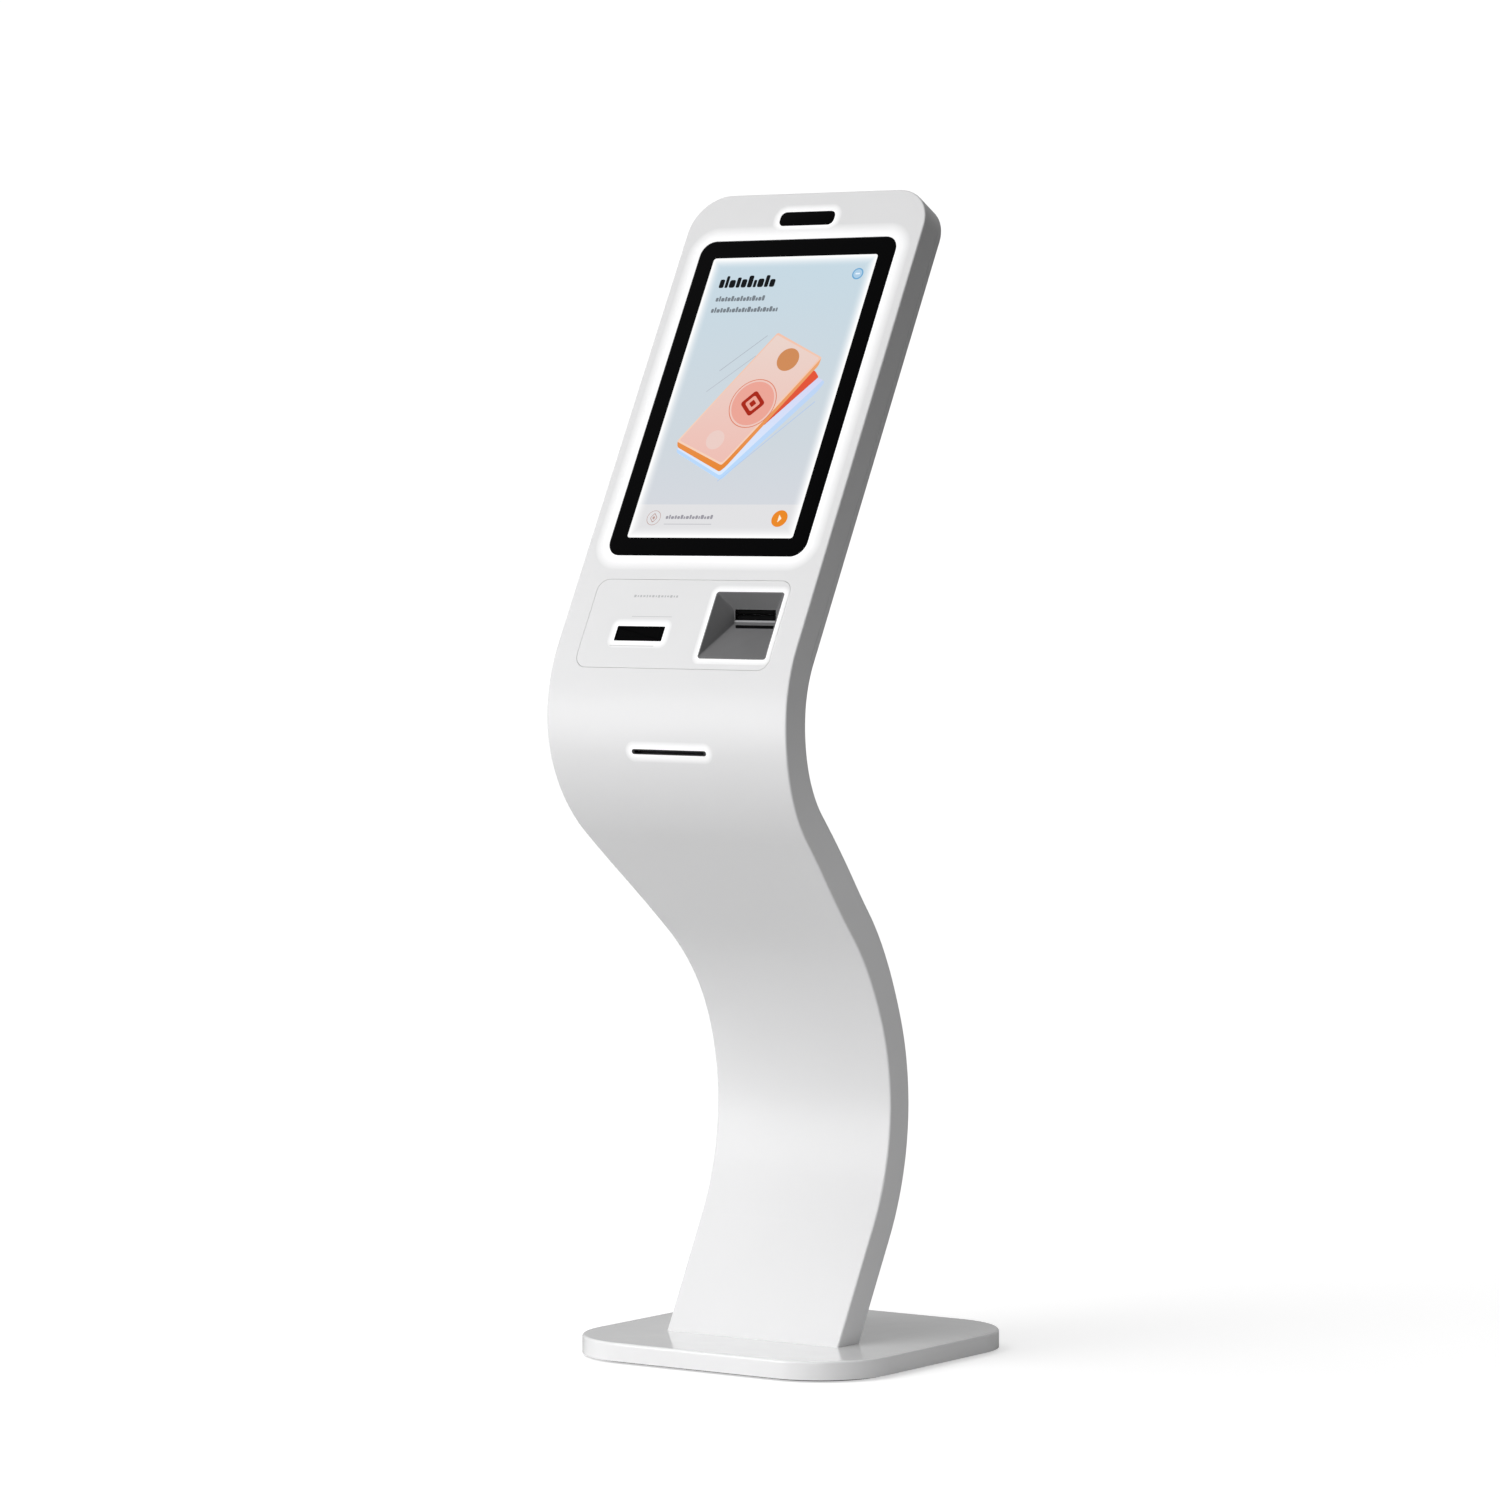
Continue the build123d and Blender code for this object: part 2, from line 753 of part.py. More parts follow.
# ------------------------------------------------------------------ cash pocket and note transport
def make_pocket():
    """Funnel, shutter, rollers with their cheeks, motor and cassette; returns the back wall's middle."""
    upright = face.location * Pos(pocket_x, faceplate_top - pocket_back_drop, -pocket_back_depth)
    back = upright.position
    mouth_y = pocket_face_middle()

    def funnel(wall, past_back, past_face):
        """Loft from the mouth to the upright back wall, grown by a wall and run past both ends."""
        mouth_plane = Plane(
            origin=(face.location * Pos(pocket_x, mouth_y, past_face)).position,
            x_dir=face.x_dir,
            z_dir=face.z_dir,
        )
        end_plane = Plane(origin=(back.X, back.Y + past_back, back.Z), x_dir=(1, 0, 0), z_dir=(0, -1, 0))
        mouth = mouth_plane * RectangleRounded(
            pocket_width + 2 * wall, pocket_height + 2 * wall, pocket_corner_radius + wall
        )
        end = end_plane * RectangleRounded(
            pocket_back_width + 2 * wall, pocket_back_height + 2 * wall, pocket_back_radius + wall
        )
        return loft([end, mouth], ruled=True)

    cup = funnel(pocket_wall, pocket_wall, 0) & slab_of(0, body_thickness, 0, head_top)
    cup += rounded(
        face, pocket_x, mouth_y, 0, front_wall + pocket_lip_overrun,
        pocket_width + 2 * pocket_wall, pocket_height + 2 * pocket_wall, pocket_corner_radius + pocket_wall,
    )
    cup -= funnel(0, 0, 0)
    slot = Pos(back.X, back.Y, back.Z + (pocket_back_height - note_slot_height) / 2 - note_slot_edge)
    cup -= slot * Box(note_slot_width, 6 * pocket_wall, note_slot_height - 2 * note_slot_edge)
    floor_z = back.Z - pocket_back_height / 2
    drain = Box(drain_width, drain_length, 4 * pocket_wall)
    cup -= Pos(back.X + drain_x, back.Y - drain_setback - drain_length / 2, floor_z) * drain
    pieces["cash_pocket"] = cup

    slot_z = slot.position.Z
    shutter_front = back.Y + pocket_wall + running_gap
    shutter_height = note_slot_height + 2 * shutter_overlap
    shutter_z = slot_z + note_slot_height / 2 + shutter_overlap + shutter_height / 2
    shutter_middle = shutter_front + shutter_thickness / 2
    shutter_width = note_slot_width + 4 * shutter_overlap
    pieces["note_shutter"] = Pos(back.X, shutter_middle, shutter_z) * Box(
        shutter_width, shutter_thickness, shutter_height
    )

    axis_y = back.Y + pocket_wall + roller_standoff
    cheek_inner = shutter_width / 2 + running_gap
    reach = roller_diameter / 2 + note_gap / 2
    for name, sign in (("upper", 1), ("lower", -1)):
        center = (back.X, axis_y, slot_z + sign * reach)
        tyre = cross_rod(center, roller_diameter, 2 * (cheek_inner - running_gap - roller_end_gap))
        shaft_reach = cheek_inner + cheek_thickness + roller_shaft_end
        shaft = cross_rod(center, roller_shaft_diameter, 2 * shaft_reach)
        pieces[f"feed_roller_{name}"] = tyre + shaft
    top_z = shutter_z + shutter_height / 2
    low_z = slot_z - 2 * reach
    for name, sign in (("left", -1), ("right", 1)):
        middle = back.X + sign * (cheek_inner + cheek_thickness / 2)
        cheek = Pos(middle, shutter_front + body_thickness / 2, (top_z + low_z) / 2) * Box(
            cheek_thickness, body_thickness, top_z - low_z
        )
        cheek &= slab_of(0, body_thickness - door_wall - cheek_door_gap, 0, head_top)
        for roller_sign in (1, -1):
            center = (middle, axis_y, slot_z + roller_sign * reach)
            cheek -= cross_rod(center, roller_shaft_diameter + fit_gap, 4 * cheek_thickness)
        pieces[f"transport_cheek_{name}"] = cheek
    motor_x = back.X + cheek_inner + cheek_thickness + motor_gap + motor_length / 2
    motor_place = (motor_x, axis_y, slot_z - reach + motor_lift)
    pieces["feed_motor"] = cross_rod(motor_place, motor_diameter, motor_length)

    cassette_y = faceplate_top + cassette_rise - pocket_drop + cassette_height / 2
    cassette_front = electronics_depth + cassette_gap
    cassette = block(
        face, pocket_x, cassette_y, cassette_front, cassette_front + cassette_depth,
        cassette_width, cassette_height,
    )
    corners = cassette.edges().filter_by(Axis(origin=(0, 0, 0), direction=face.z_dir))
    cassette = chamfer(corners, cassette_chamfer)
    foot = cassette_y - cassette_height / 2
    mouth_front = cassette_front + cassette_depth / 2
    mouth = block(
        face, pocket_x, foot, mouth_front, mouth_front + cassette_mouth_height,
        note_slot_width, 2 * cassette_mouth_depth,
    )
    pieces["note_cassette"] = cassette - mouth
    return back


make_pocket()


# ------------------------------------------------------------------ receipt printer
def make_printer():
    plane = receipt_plane
    slot = block(
        plane, 0, 0, -past, bezel_depth + past, receipt_opening_width, receipt_opening_height
    )
    bezel = receipt_slug(0, reader_recess, bezel_depth)
    flange_front = front_wall + receipt_flange_gap
    bezel += block(
        plane, 0, 0, flange_front, flange_front + receipt_flange_thickness,
        receipt_width + 2 * receipt_flange, receipt_height + 2 * receipt_flange,
    )
    pieces["receipt_bezel"] = bezel - slot

    blade_front = bezel_depth + running_gap
    blade_low = receipt_opening_height / 2 + blade_clearance
    blade_back = blade_front + blade_thickness
    blade_width = paper_width + 2 * blade_margin
    pieces["cutter_blade"] = block(
        plane, 0, blade_low + blade_height / 2, blade_front, blade_back, blade_width, blade_height
    )

    platen_depth = blade_back + platen_gap + platen_diameter / 2
    platen_y = -platen_diameter / 2 - paper_path
    cheek_inner = blade_width / 2 + running_gap
    platen_center = (plane.location * Pos(0, platen_y, -platen_depth)).position
    platen = cross_rod(platen_center, platen_diameter, paper_width + 2 * platen_margin)
    shaft_length = 2 * (cheek_inner + printer_cheek + platen_shaft_end)
    pieces["platen_roller"] = platen + cross_rod(platen_center, platen_shaft_diameter, shaft_length)

    print_back = platen_depth + platen_diameter / 2
    strip = block(
        plane, 0, print_strip_low + print_strip_thickness / 2, blade_back + print_strip_gap, print_back,
        paper_width, print_strip_thickness,
    )
    sink = block(
        plane, 0, print_sink_low + print_sink_thickness / 2, blade_back + print_sink_gap,
        print_back - print_sink_setback, paper_width, print_sink_thickness,
    )
    pieces["thermal_head"] = strip + sink

    frame_back = print_back + printer_margin
    frame_low = -printer_height / 2
    floor = block(
        plane, 0, frame_low + printer_cheek / 2, blade_front, frame_back,
        2 * (cheek_inner + printer_cheek), printer_cheek,
    )
    frame = floor
    for sign in (-1, 1):
        frame += block(
            plane, sign * (cheek_inner + printer_cheek / 2), 0, blade_front, frame_back,
            printer_cheek, printer_height,
        )
    frame -= cross_rod(platen_center, platen_shaft_diameter + 2 * fit_gap, shaft_length + 2 * past)
    pieces["printer_frame"] = frame

    roll_station = receipt_station - roll_distance
    tray_back = body_thickness - rear_wall - tray_gap
    tray_front = tray_back - tray_thickness
    roll_center = spot(roll_station, (front_wall + tray_front) / 2, receipt_x)
    roll = cross_rod(roll_center, paper_roll_diameter, paper_width)
    pieces["paper_roll"] = roll - cross_rod(roll_center, paper_core_diameter, 2 * paper_width)
    bracket_inner = paper_width / 2 + 2 * running_gap + spindle_overrun
    spindle = cross_rod(roll_center, paper_core_diameter - 2 * fit_gap, 2 * bracket_inner)
    pieces["roll_spindle"] = spindle
    roll_plane = surface_plane(roll_station, receipt_x)
    brackets = []
    for sign in (-1, 1):
        x = sign * (bracket_inner + printer_cheek / 2)
        bracket = block(
            roll_plane, x, 0, front_wall + bracket_setback, tray_front - bracket_tray_gap,
            printer_cheek, paper_core_diameter + 2 * bracket_margin,
        )
        brackets.append(bracket)
    pieces["roll_brackets"] = brackets
    half = rail_offset - rail_width / 2 - fit_gap
    pieces["printer_tray"] = band(
        tray_front, tray_back, roll_station - paper_roll_diameter,
        receipt_station + printer_height / 2 + tray_margin, -half, half,
    )


make_printer()


# ------------------------------------------------------------------ electronics
def make_electronics():
    tray_back = electronics_depth + tray_sheet
    middle_x = electronics_left + electronics_width / 2
    pieces["electronics_tray"] = block(
        face, middle_x, -(electronics_drop + electronics_bottom) / 2, electronics_depth, tray_back,
        electronics_width, electronics_bottom - electronics_drop,
    )
    board_front = tray_back + board_standoff
    board_back = board_front + board_thickness
    board_y = -(electronics_drop + board_margin + board_height / 2)
    board = block(face, middle_x, board_y, board_front, board_back, board_width, board_height)
    holes_x = board_width - 2 * board_hole_inset
    holes_y = board_height - 2 * board_hole_inset
    for place in GridLocations(holes_x, holes_y, 2, 2):
        spot_x = middle_x + place.position.X
        spot_y = board_y + place.position.Y
        board += rod(face, spot_x, spot_y, tray_back, board_front, board_standoff_diameter)
    for share in connector_shares:
        board += block(
            face, middle_x + share * board_width, board_y - board_height / 2 + connector_inset,
            board_back, board_back + connector_depth, connector_width, connector_height,
        )
    for share in memory_shares:
        board += block(
            face, middle_x + share * board_width, board_y + memory_rise_share * board_height,
            board_back, board_back + memory_depth, memory_width, memory_height_share * board_height,
        )
    pieces["main_board"] = board

    sink_x = middle_x + sink_x_share * board_width
    sink_y = board_y + sink_y_share * board_height
    fin_front = board_back + sink_base
    sink_back = board_back + sink_height
    sink = block(face, sink_x, sink_y, board_back, fin_front, sink_size, sink_size)
    pitch = (sink_size - sink_fin_thickness) / (sink_fins - 1)
    for index in range(sink_fins):
        x = sink_x - (sink_size - sink_fin_thickness) / 2 + index * pitch
        sink += block(face, x, sink_y, fin_front, sink_back, sink_fin_thickness, sink_size)
    pieces["heat_sink"] = sink

    fan_front = sink_back
    fan_back = fan_front + fan_thickness
    bore = fan_size - 2 * fan_rim
    frame = block(face, sink_x, sink_y, fan_front, fan_back, fan_size, fan_size)
    frame -= rod(face, sink_x, sink_y, fan_front + fan_floor, fan_back + past, bore)
    window_back = fan_front + fan_floor + past
    window = rod(face, sink_x, sink_y, fan_front - past, window_back, bore - 2 * fan_guard)
    window -= rod(face, sink_x, sink_y, fan_front - 2 * past, window_back + past, fan_hub_plate_diameter)
    for angle in (0, 90):
        arm = Rot(0, 0, angle) * Box(fan_size, fan_arm_width, 2 * fan_thickness)
        window -= face.location * Pos(sink_x, sink_y, -fan_front) * arm
    frame -= window
    pin_back = fan_back - fan_pin_end_gap
    pin = rod(face, sink_x, sink_y, fan_front + fan_floor / 2, pin_back, fan_pin_diameter)
    pieces["fan_frame"] = frame + pin
    hub_front = fan_front + fan_floor + running_gap
    hub_back = fan_back - fan_hub_end_gap
    hub = rod(face, sink_x, sink_y, hub_front, hub_back, fan_hub_diameter)
    blade_reach = bore / 2 - fan_tip_gap
    for index in range(fan_blades):
        spoke = Rot(0, 0, index * 360 / fan_blades) * Pos(blade_reach / 2 + fan_blade_shift, 0, 0)
        blade = Box(blade_reach - fan_blade_root, fan_blade_width, fan_blade_thickness)
        middle = Pos(sink_x, sink_y, -(hub_front + hub_back) / 2)
        hub += face.location * middle * spoke * Rot(fan_blade_pitch, 0, 0) * blade
    hub &= rod(face, sink_x, sink_y, hub_front, hub_back, 2 * blade_reach)
    hub -= rod(
        face, sink_x, sink_y, fan_front, hub_back - fan_hub_roof + fan_hub_end_gap,
        fan_pin_diameter + 2 * fit_gap,
    )
    pieces["fan_rotor"] = hub

    supply_y = -(electronics_bottom - supply_margin_y - supply_height / 2)
    supply_x = electronics_left + supply_margin_x + supply_width / 2
    supply_back = tray_back + supply_depth
    supply = block(face, supply_x, supply_y, tray_back, supply_back, supply_width, supply_height)
    for index in range(supply_vents):
        y = supply_y + (index - (supply_vents - 1) / 2) * supply_vent_pitch
        supply -= block(
            face, supply_x, y, supply_back - supply_vent_depth, supply_back + past,
            supply_vent_share * supply_width, supply_vent_height,
        )
    pieces["power_supply"] = supply
    return (sink_x, sink_y), (supply_x, supply_y - supply_height / 2)


fan_place, supply_foot = make_electronics()


# ------------------------------------------------------------------ rear door, hinges, lock
def make_door(door):
    hinge_x = -(head_width / 2 + hinge_radius + hinge_side_gap)
    seam_depth = body_thickness - door_rim + running_gap / 2
    for index in range(vent_count):
        y = fan_place[1] + (index - (vent_count - 1) / 2) * vent_pitch
        low_y = -(head_straight - vent_foot) + index * vent_pitch
        for x, vent_y in ((fan_place[0], y), (0, low_y)):
            door -= rounded(
                face, x, vent_y, body_thickness - 3 * door_wall, body_thickness + past,
                vent_width, vent_height, vent_height / 2 - 0.01,
            )
    pins = []
    knuckle_gap = running_gap
    for name, drop in zip(("upper", "lower"), hinge_drops):
        frame_leaf = []
        for step in (-1, 0, 1):
            y = -drop + step * (knuckle_length + knuckle_gap)
            axis = face.location * Pos(hinge_x, y, -seam_depth)
            knuckle = axis * Rot(90, 0, 0) * Cylinder(hinge_radius, knuckle_length)
            sign = 1 if step == 0 else -1
            low, high = sorted((seam_depth + sign * running_gap / 2, seam_depth + sign * hinge_leaf_reach))
            tab = block(
                face, (hinge_x - head_width / 2) / 2, y, low, high,
                -hinge_x - head_width / 2, knuckle_length,
            )
            tab = (tab + knuckle) - axis * Rot(90, 0, 0) * Cylinder(
                hinge_pin_radius + fit_gap / 2, 2 * knuckle_length
            )
            if step == 0:
                pieces[f"door_hinge_leaf_{name}"] = tab
            else:
                frame_leaf.append(tab)
        pieces[f"frame_hinge_leaf_{name}"] = frame_leaf
        pin_length = 3 * knuckle_length + 2 * knuckle_gap
        pin_axis = face.location * Pos(hinge_x, -drop, -seam_depth) * Rot(90, 0, 0)
        pin = Cylinder(hinge_pin_radius, pin_length)
        for end in (-1, 1):
            head = Cylinder(hinge_pin_head_radius, hinge_pin_head)
            pin += Pos(0, 0, end * (pin_length + hinge_pin_head) / 2) * head
        pins.append(pin_axis * pin)
    pieces["hinge_pins"] = pins

    lock_x = head_width / 2 - lock_inset
    lock_y = -lock_drop
    lock_back = body_thickness + lock_collar_thickness
    barrel_front = body_thickness - door_wall - lock_barrel_length
    cam_front = barrel_front - running_gap - lock_cam_thickness
    door -= rod(face, lock_x, lock_y, barrel_front - past, body_thickness + past, lock_barrel_diameter)
    barrel = rod(face, lock_x, lock_y, barrel_front, lock_back, lock_barrel_diameter - 2 * fit_gap)
    collar_diameter = lock_barrel_diameter + 2 * lock_collar
    barrel += rod(face, lock_x, lock_y, body_thickness + fit_gap, lock_back, collar_diameter)
    barrel -= rod(face, lock_x, lock_y, cam_front, lock_back + past, lock_plug_diameter)
    pieces["lock_barrel"] = barrel
    plug = rod(face, lock_x, lock_y, cam_front, lock_back, lock_plug_diameter - 2 * fit_gap)
    plug += block(
        face, lock_x, lock_y + lock_cam_length / 2, cam_front, cam_front + lock_cam_thickness,
        lock_cam_width, lock_cam_length,
    )
    plug -= block(
        face, lock_x, lock_y, lock_back - lock_key_slot_depth, lock_back + past,
        lock_key_slot_width, lock_key_slot_length,
    )
    pieces["lock_plug"] = plug
    strike_front = cam_front + lock_cam_thickness + running_gap
    side_inner = head_width / 2 - side_wall
    cam_tip = lock_x + lock_cam_length
    strike_inner = cam_tip - lock_strike_overlap
    pieces["lock_strike"] = block(
        face, (side_inner + strike_inner) / 2, lock_y, strike_front,
        body_thickness - door_rim - lock_strike_gap, side_inner - strike_inner, 2 * lock_barrel_diameter,
    )
    return door


pieces["rear_door"] = make_door(door)


# ------------------------------------------------------------------ mains inlet, cable, cover screws
def make_rear(cover):
    plane = surface_plane(inlet_station, inlet_x)
    back = body_thickness
    cover -= block(
        plane, 0, 0, back - 2 * rear_wall, back + past,
        inlet_width + 2 * fit_gap, inlet_height + 2 * fit_gap,
    )
    inlet = block(plane, 0, 0, back - inlet_depth, back, inlet_width, inlet_height)
    inlet += rounded(
        plane, 0, 0, back, back + inlet_flange_thickness,
        inlet_width + 2 * inlet_flange, inlet_height + 2 * inlet_flange, inlet_flange,
    )
    outer = back + inlet_flange_thickness
    inlet -= block(
        plane, 0, 0, outer - inlet_socket_depth, outer + past, inlet_socket_width, inlet_socket_height
    )
    for x, y in inlet_pins:
        inlet += block(
            plane, x, y, outer - inlet_socket_depth, outer - inlet_pin_setback,
            inlet_pin_width, inlet_pin_height,
        )
    pieces["power_inlet"] = inlet

    start = inlet_station + inlet_height / 2
    end = head_top + supply_foot[1]
    path = Wire(profile_path(start, end, cable_depth, inlet_x))
    y, z, lean = surface(start, cable_depth)
    section = Plane(origin=(inlet_x, y, z), x_dir=(1, 0, 0), z_dir=(0, sin(lean), cos(lean)))
    cable = sweep(section * Circle(cable_diameter / 2), path=path)
    pieces["power_cable"] = cable
    expected = pi * cable_diameter**2 / 4 * path.length
    print("power cable volume", round(cable.volume, 1), "section times length", round(expected, 1))
    bends = [calf_radius + cable_depth, chin_radius - cable_depth]
    print("power cable radii", [round(bend, 1) for bend in bends])

    screws = []
    for station in screw_stations:
        for sign in (-1, 1):
            seat = surface_plane(station, sign * rail_offset)
            hole = rod(seat, 0, 0, back - rear_wall - past, back + past, screw_diameter + 2 * fit_gap)
            cover -= hole
            bore = rod(seat, 0, 0, back - screw_length, back, screw_diameter)
            side = "left" if sign < 0 else "right"
            pieces[f"spine_rail_{side}"] -= bore
            head = rod(seat, 0, 0, back, back + screw_head_height, screw_head_diameter)
            above_head = (seat.location * Pos(0, 0, -2 * back)).position
            rim = head.edges().filter_by(GeomType.CIRCLE).sort_by_distance(above_head)[0]
            head = fillet(rim, screw_head_rounding)
            drive = back + screw_head_height - screw_drive_depth
            head -= rod(seat, 0, 0, drive, back + screw_head_height + past, screw_drive_diameter)
            shank = rod(seat, 0, 0, back - screw_length + screw_end_gap, back, screw_diameter)
            screws.append(head + shank)
    pieces["cover_screws"] = screws
    return cover


pieces["leg_rear_cover"] = make_rear(rear_cover)


# ------------------------------------------------------------------ one STEP file for each piece
os.makedirs("parts", exist_ok=True)
for name, shape in pieces.items():
    solids = shape if isinstance(shape, list) else shape.solids()
    flat = [solid for item in solids for solid in item.solids()]
    export_step(Compound(children=flat) if len(flat) > 1 else flat[0], f"parts/{name}.step")
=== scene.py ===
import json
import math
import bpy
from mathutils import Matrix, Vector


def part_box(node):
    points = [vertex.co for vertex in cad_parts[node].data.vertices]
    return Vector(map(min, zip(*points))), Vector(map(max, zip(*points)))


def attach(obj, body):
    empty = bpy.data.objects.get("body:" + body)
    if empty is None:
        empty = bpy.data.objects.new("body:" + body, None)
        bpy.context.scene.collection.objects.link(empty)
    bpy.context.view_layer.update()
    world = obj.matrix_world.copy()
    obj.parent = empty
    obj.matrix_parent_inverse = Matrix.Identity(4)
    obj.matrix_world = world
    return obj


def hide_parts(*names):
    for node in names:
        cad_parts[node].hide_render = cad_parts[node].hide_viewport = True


bl_info = {
    "name": "Cash kiosk",
    "version": (1, 0, 0),
    "blender": (4, 5, 0),
    "location": "View3D > Sidebar > Kiosk",
    "description": "Gives a floor-standing cash kiosk its finishes and its fine pieces",
    "category": "Object",
}

import bmesh
import bpy
from bpy.props import FloatProperty, FloatVectorProperty, IntProperty, PointerProperty
from mathutils import Matrix, Vector

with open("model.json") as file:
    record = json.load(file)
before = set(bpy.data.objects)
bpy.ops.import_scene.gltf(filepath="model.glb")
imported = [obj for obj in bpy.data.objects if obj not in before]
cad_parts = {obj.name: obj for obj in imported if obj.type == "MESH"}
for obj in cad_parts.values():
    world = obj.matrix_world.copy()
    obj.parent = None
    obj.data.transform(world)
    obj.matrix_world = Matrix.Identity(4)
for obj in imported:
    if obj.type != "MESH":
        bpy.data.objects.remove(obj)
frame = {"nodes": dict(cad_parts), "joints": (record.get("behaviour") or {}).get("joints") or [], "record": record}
nodes = frame["nodes"]
slots = {part["node"]: part["material_slot"] for part in frame["record"]["subparts"]}
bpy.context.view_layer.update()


# ------------------------------------------------------------------ places worked out from the frame
def joint_named(name):
    return next(joint for joint in frame["joints"] if joint["name"] == name)


def slab_plane(node, up):
    """Matrix whose origin is the middle of a tilted slab's front face: X right, Y up, Z outwards.

    The slab's thickness and height follow from its box and from the direction that it leans.
    """
    low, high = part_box(node)
    sine, cosine = up.y, up.z
    across, tall = high.y - low.y, high.z - low.z
    share = cosine * cosine - sine * sine
    height = (tall * cosine - across * sine) / share
    thickness = (across * cosine - tall * sine) / share
    out = Vector((0, -cosine, sine))
    middle = (low + high) / 2 + out * thickness / 2
    matrix = Matrix((Vector((1, 0, 0)), up, out)).transposed().to_4x4()
    matrix.translation = middle
    return matrix, high.x - low.x, height, thickness


face_up = Vector(joint_named("door_hinge")["axis"])
chin_up = -Vector(joint_named("cutter_slide")["axis"])
glass_place, glass_width, glass_height, glass_thickness = slab_plane("touch_glass", face_up)
camera_place, camera_width, camera_height, camera_thickness = slab_plane("camera_window", face_up)
reader_place, reader_width, reader_height, reader_thickness = slab_plane("reader_window", face_up)
glass_turn = glass_place.to_3x3().to_4x4()
glass_corner = 0.022
camera_corner = 0.009
reader_corner = 0.0015
pocket_corner = 0.003
pocket_wall = 0.0015
face_seam = 0.0025
skin_half = 0.0016


# ------------------------------------------------------------------ settings a user would change
class KioskFinish(bpy.types.PropertyGroup):
    """Colours and gloss of the kiosk's outside"""

    white: FloatVectorProperty(
        name="White", description="Colour of the painted body", subtype="COLOR",
        size=3, min=0, max=1, default=(0.80, 0.80, 0.805),
    )
    body_roughness: FloatProperty(
        name="Body roughness", description="Roughness of the satin paint",
        subtype="FACTOR", min=0, max=1, default=0.42,
    )
    base_white: FloatVectorProperty(
        name="Base white", description="Colour of the base's lacquer", subtype="COLOR",
        size=3, min=0, max=1, default=(0.88, 0.88, 0.885),
    )
    base_roughness: FloatProperty(
        name="Base roughness", description="Roughness of the base's lacquer",
        subtype="FACTOR", min=0, max=1, default=0.16,
    )
    pocket_grey: FloatVectorProperty(
        name="Pocket grey", description="Colour of the moulded cash pocket", subtype="COLOR",
        size=3, min=0, max=1, default=(0.165, 0.165, 0.168),
    )
    # The painted_glow settings size a painted glow: the front paint itself emits white light round the display and
    # the small openings, where there is no lamp.
    painted_glow_width: FloatProperty(
        name="Glow width", description="Reach of the light round the display",
        unit="LENGTH", min=0, default=0.022,
    )
    painted_glow_small: FloatProperty(
        name="Small glow width", description="Reach of the light round the small openings",
        unit="LENGTH", min=0, default=0.011,
    )
    painted_glow_strength: FloatProperty(
        name="Glow strength", description="Brightness of the light round the openings",
        min=0, max=5, default=0.34,
    )


class KioskScreen(bpy.types.PropertyGroup):
    """Size and colours of the lit screen"""

    border: FloatProperty(
        name="Border", description="Black border of the cover glass",
        unit="LENGTH", min=0.005, default=0.0262,
    )
    brightness: FloatProperty(
        name="Brightness", description="Brightness of the lit screen", min=0, max=3, default=1.0
    )
    top_colour: FloatVectorProperty(
        name="Top colour", description="Background at the top", subtype="COLOR",
        size=3, min=0, max=1, default=(0.565, 0.695, 0.775),
    )
    foot_colour: FloatVectorProperty(
        name="Foot colour", description="Background at the foot", subtype="COLOR",
        size=3, min=0, max=1, default=(0.68, 0.69, 0.735),
    )
    bar_height: FloatProperty(
        name="Bar height", description="Height of the bar at the screen's foot",
        unit="LENGTH", min=0.01, default=0.0505,
    )


class KioskDetail(bpy.types.PropertyGroup):
    """Sizes of the fine pieces"""

    edge: FloatProperty(
        name="Edge", description="Rounding of the small parts' edges",
        unit="LENGTH", min=0.0001, default=0.0006,
    )
    fan_blades: IntProperty(
        name="Fan blades", description="Number of blades on the fan", min=3, max=15, default=7
    )
    board_chips: IntProperty(
        name="Board chips", description="Small chips on the main board", min=4, max=60, default=22
    )


# ------------------------------------------------------------------ modelling helpers
def deselect():
    if bpy.context.object is not None and bpy.context.object.mode != "OBJECT":
        bpy.ops.object.mode_set(mode="OBJECT")
    bpy.ops.object.select_all(action="DESELECT")


def activate(*pieces):
    """Selects these pieces alone and makes the first of them active."""
    deselect()
    for piece in pieces:
        piece.select_set(True)
    bpy.context.view_layer.objects.active = pieces[0]


def bake_place():
    """Moves the selected pieces' place, turn and size into their meshes."""
    bpy.ops.object.transform_apply(location=True, rotation=True, scale=True)


def named(name):
    """Names the active piece and its mesh."""
    piece = bpy.context.object
    piece.name = name
    piece.data.name = name
    return piece


def add_block(name, width, height, depth, at=(0, 0, 0)):
    """Cuboid that is centred on a point."""
    deselect()
    bpy.ops.mesh.primitive_cube_add(size=1, location=at, scale=(width, height, depth))
    bake_place()
    return named(name)


def add_disc(name, radius, depth, at=(0, 0, 0), sides=48):
    """Round bar along Z that is centred on a point."""
    deselect()
    bpy.ops.mesh.primitive_cylinder_add(radius=radius, depth=depth, vertices=sides, location=at)
    bake_place()
    return named(name)


def edit(piece, kind="EDGE"):
    """Enters edit mode on one piece with nothing selected and returns its mesh."""
    activate(piece)
    bpy.ops.object.mode_set(mode="EDIT")
    bpy.ops.mesh.select_mode(type=kind)
    bpy.ops.mesh.select_all(action="DESELECT")
    return bmesh.from_edit_mesh(piece.data)


def pick_edges(piece, test):
    """Selects the edges whose two ends pass a test."""
    mesh = edit(piece, "EDGE")
    for item in mesh.edges:
        if test(item.verts[0].co, item.verts[1].co):
            item.select_set(True)
    bmesh.update_edit_mesh(piece.data)


def pick_faces(piece, test):
    """Selects the faces whose middle and normal pass a test."""
    mesh = edit(piece, "FACE")
    for item in mesh.faces:
        if test(item.calc_center_median(), item.normal):
            item.select_set(True)
    bmesh.update_edit_mesh(piece.data)


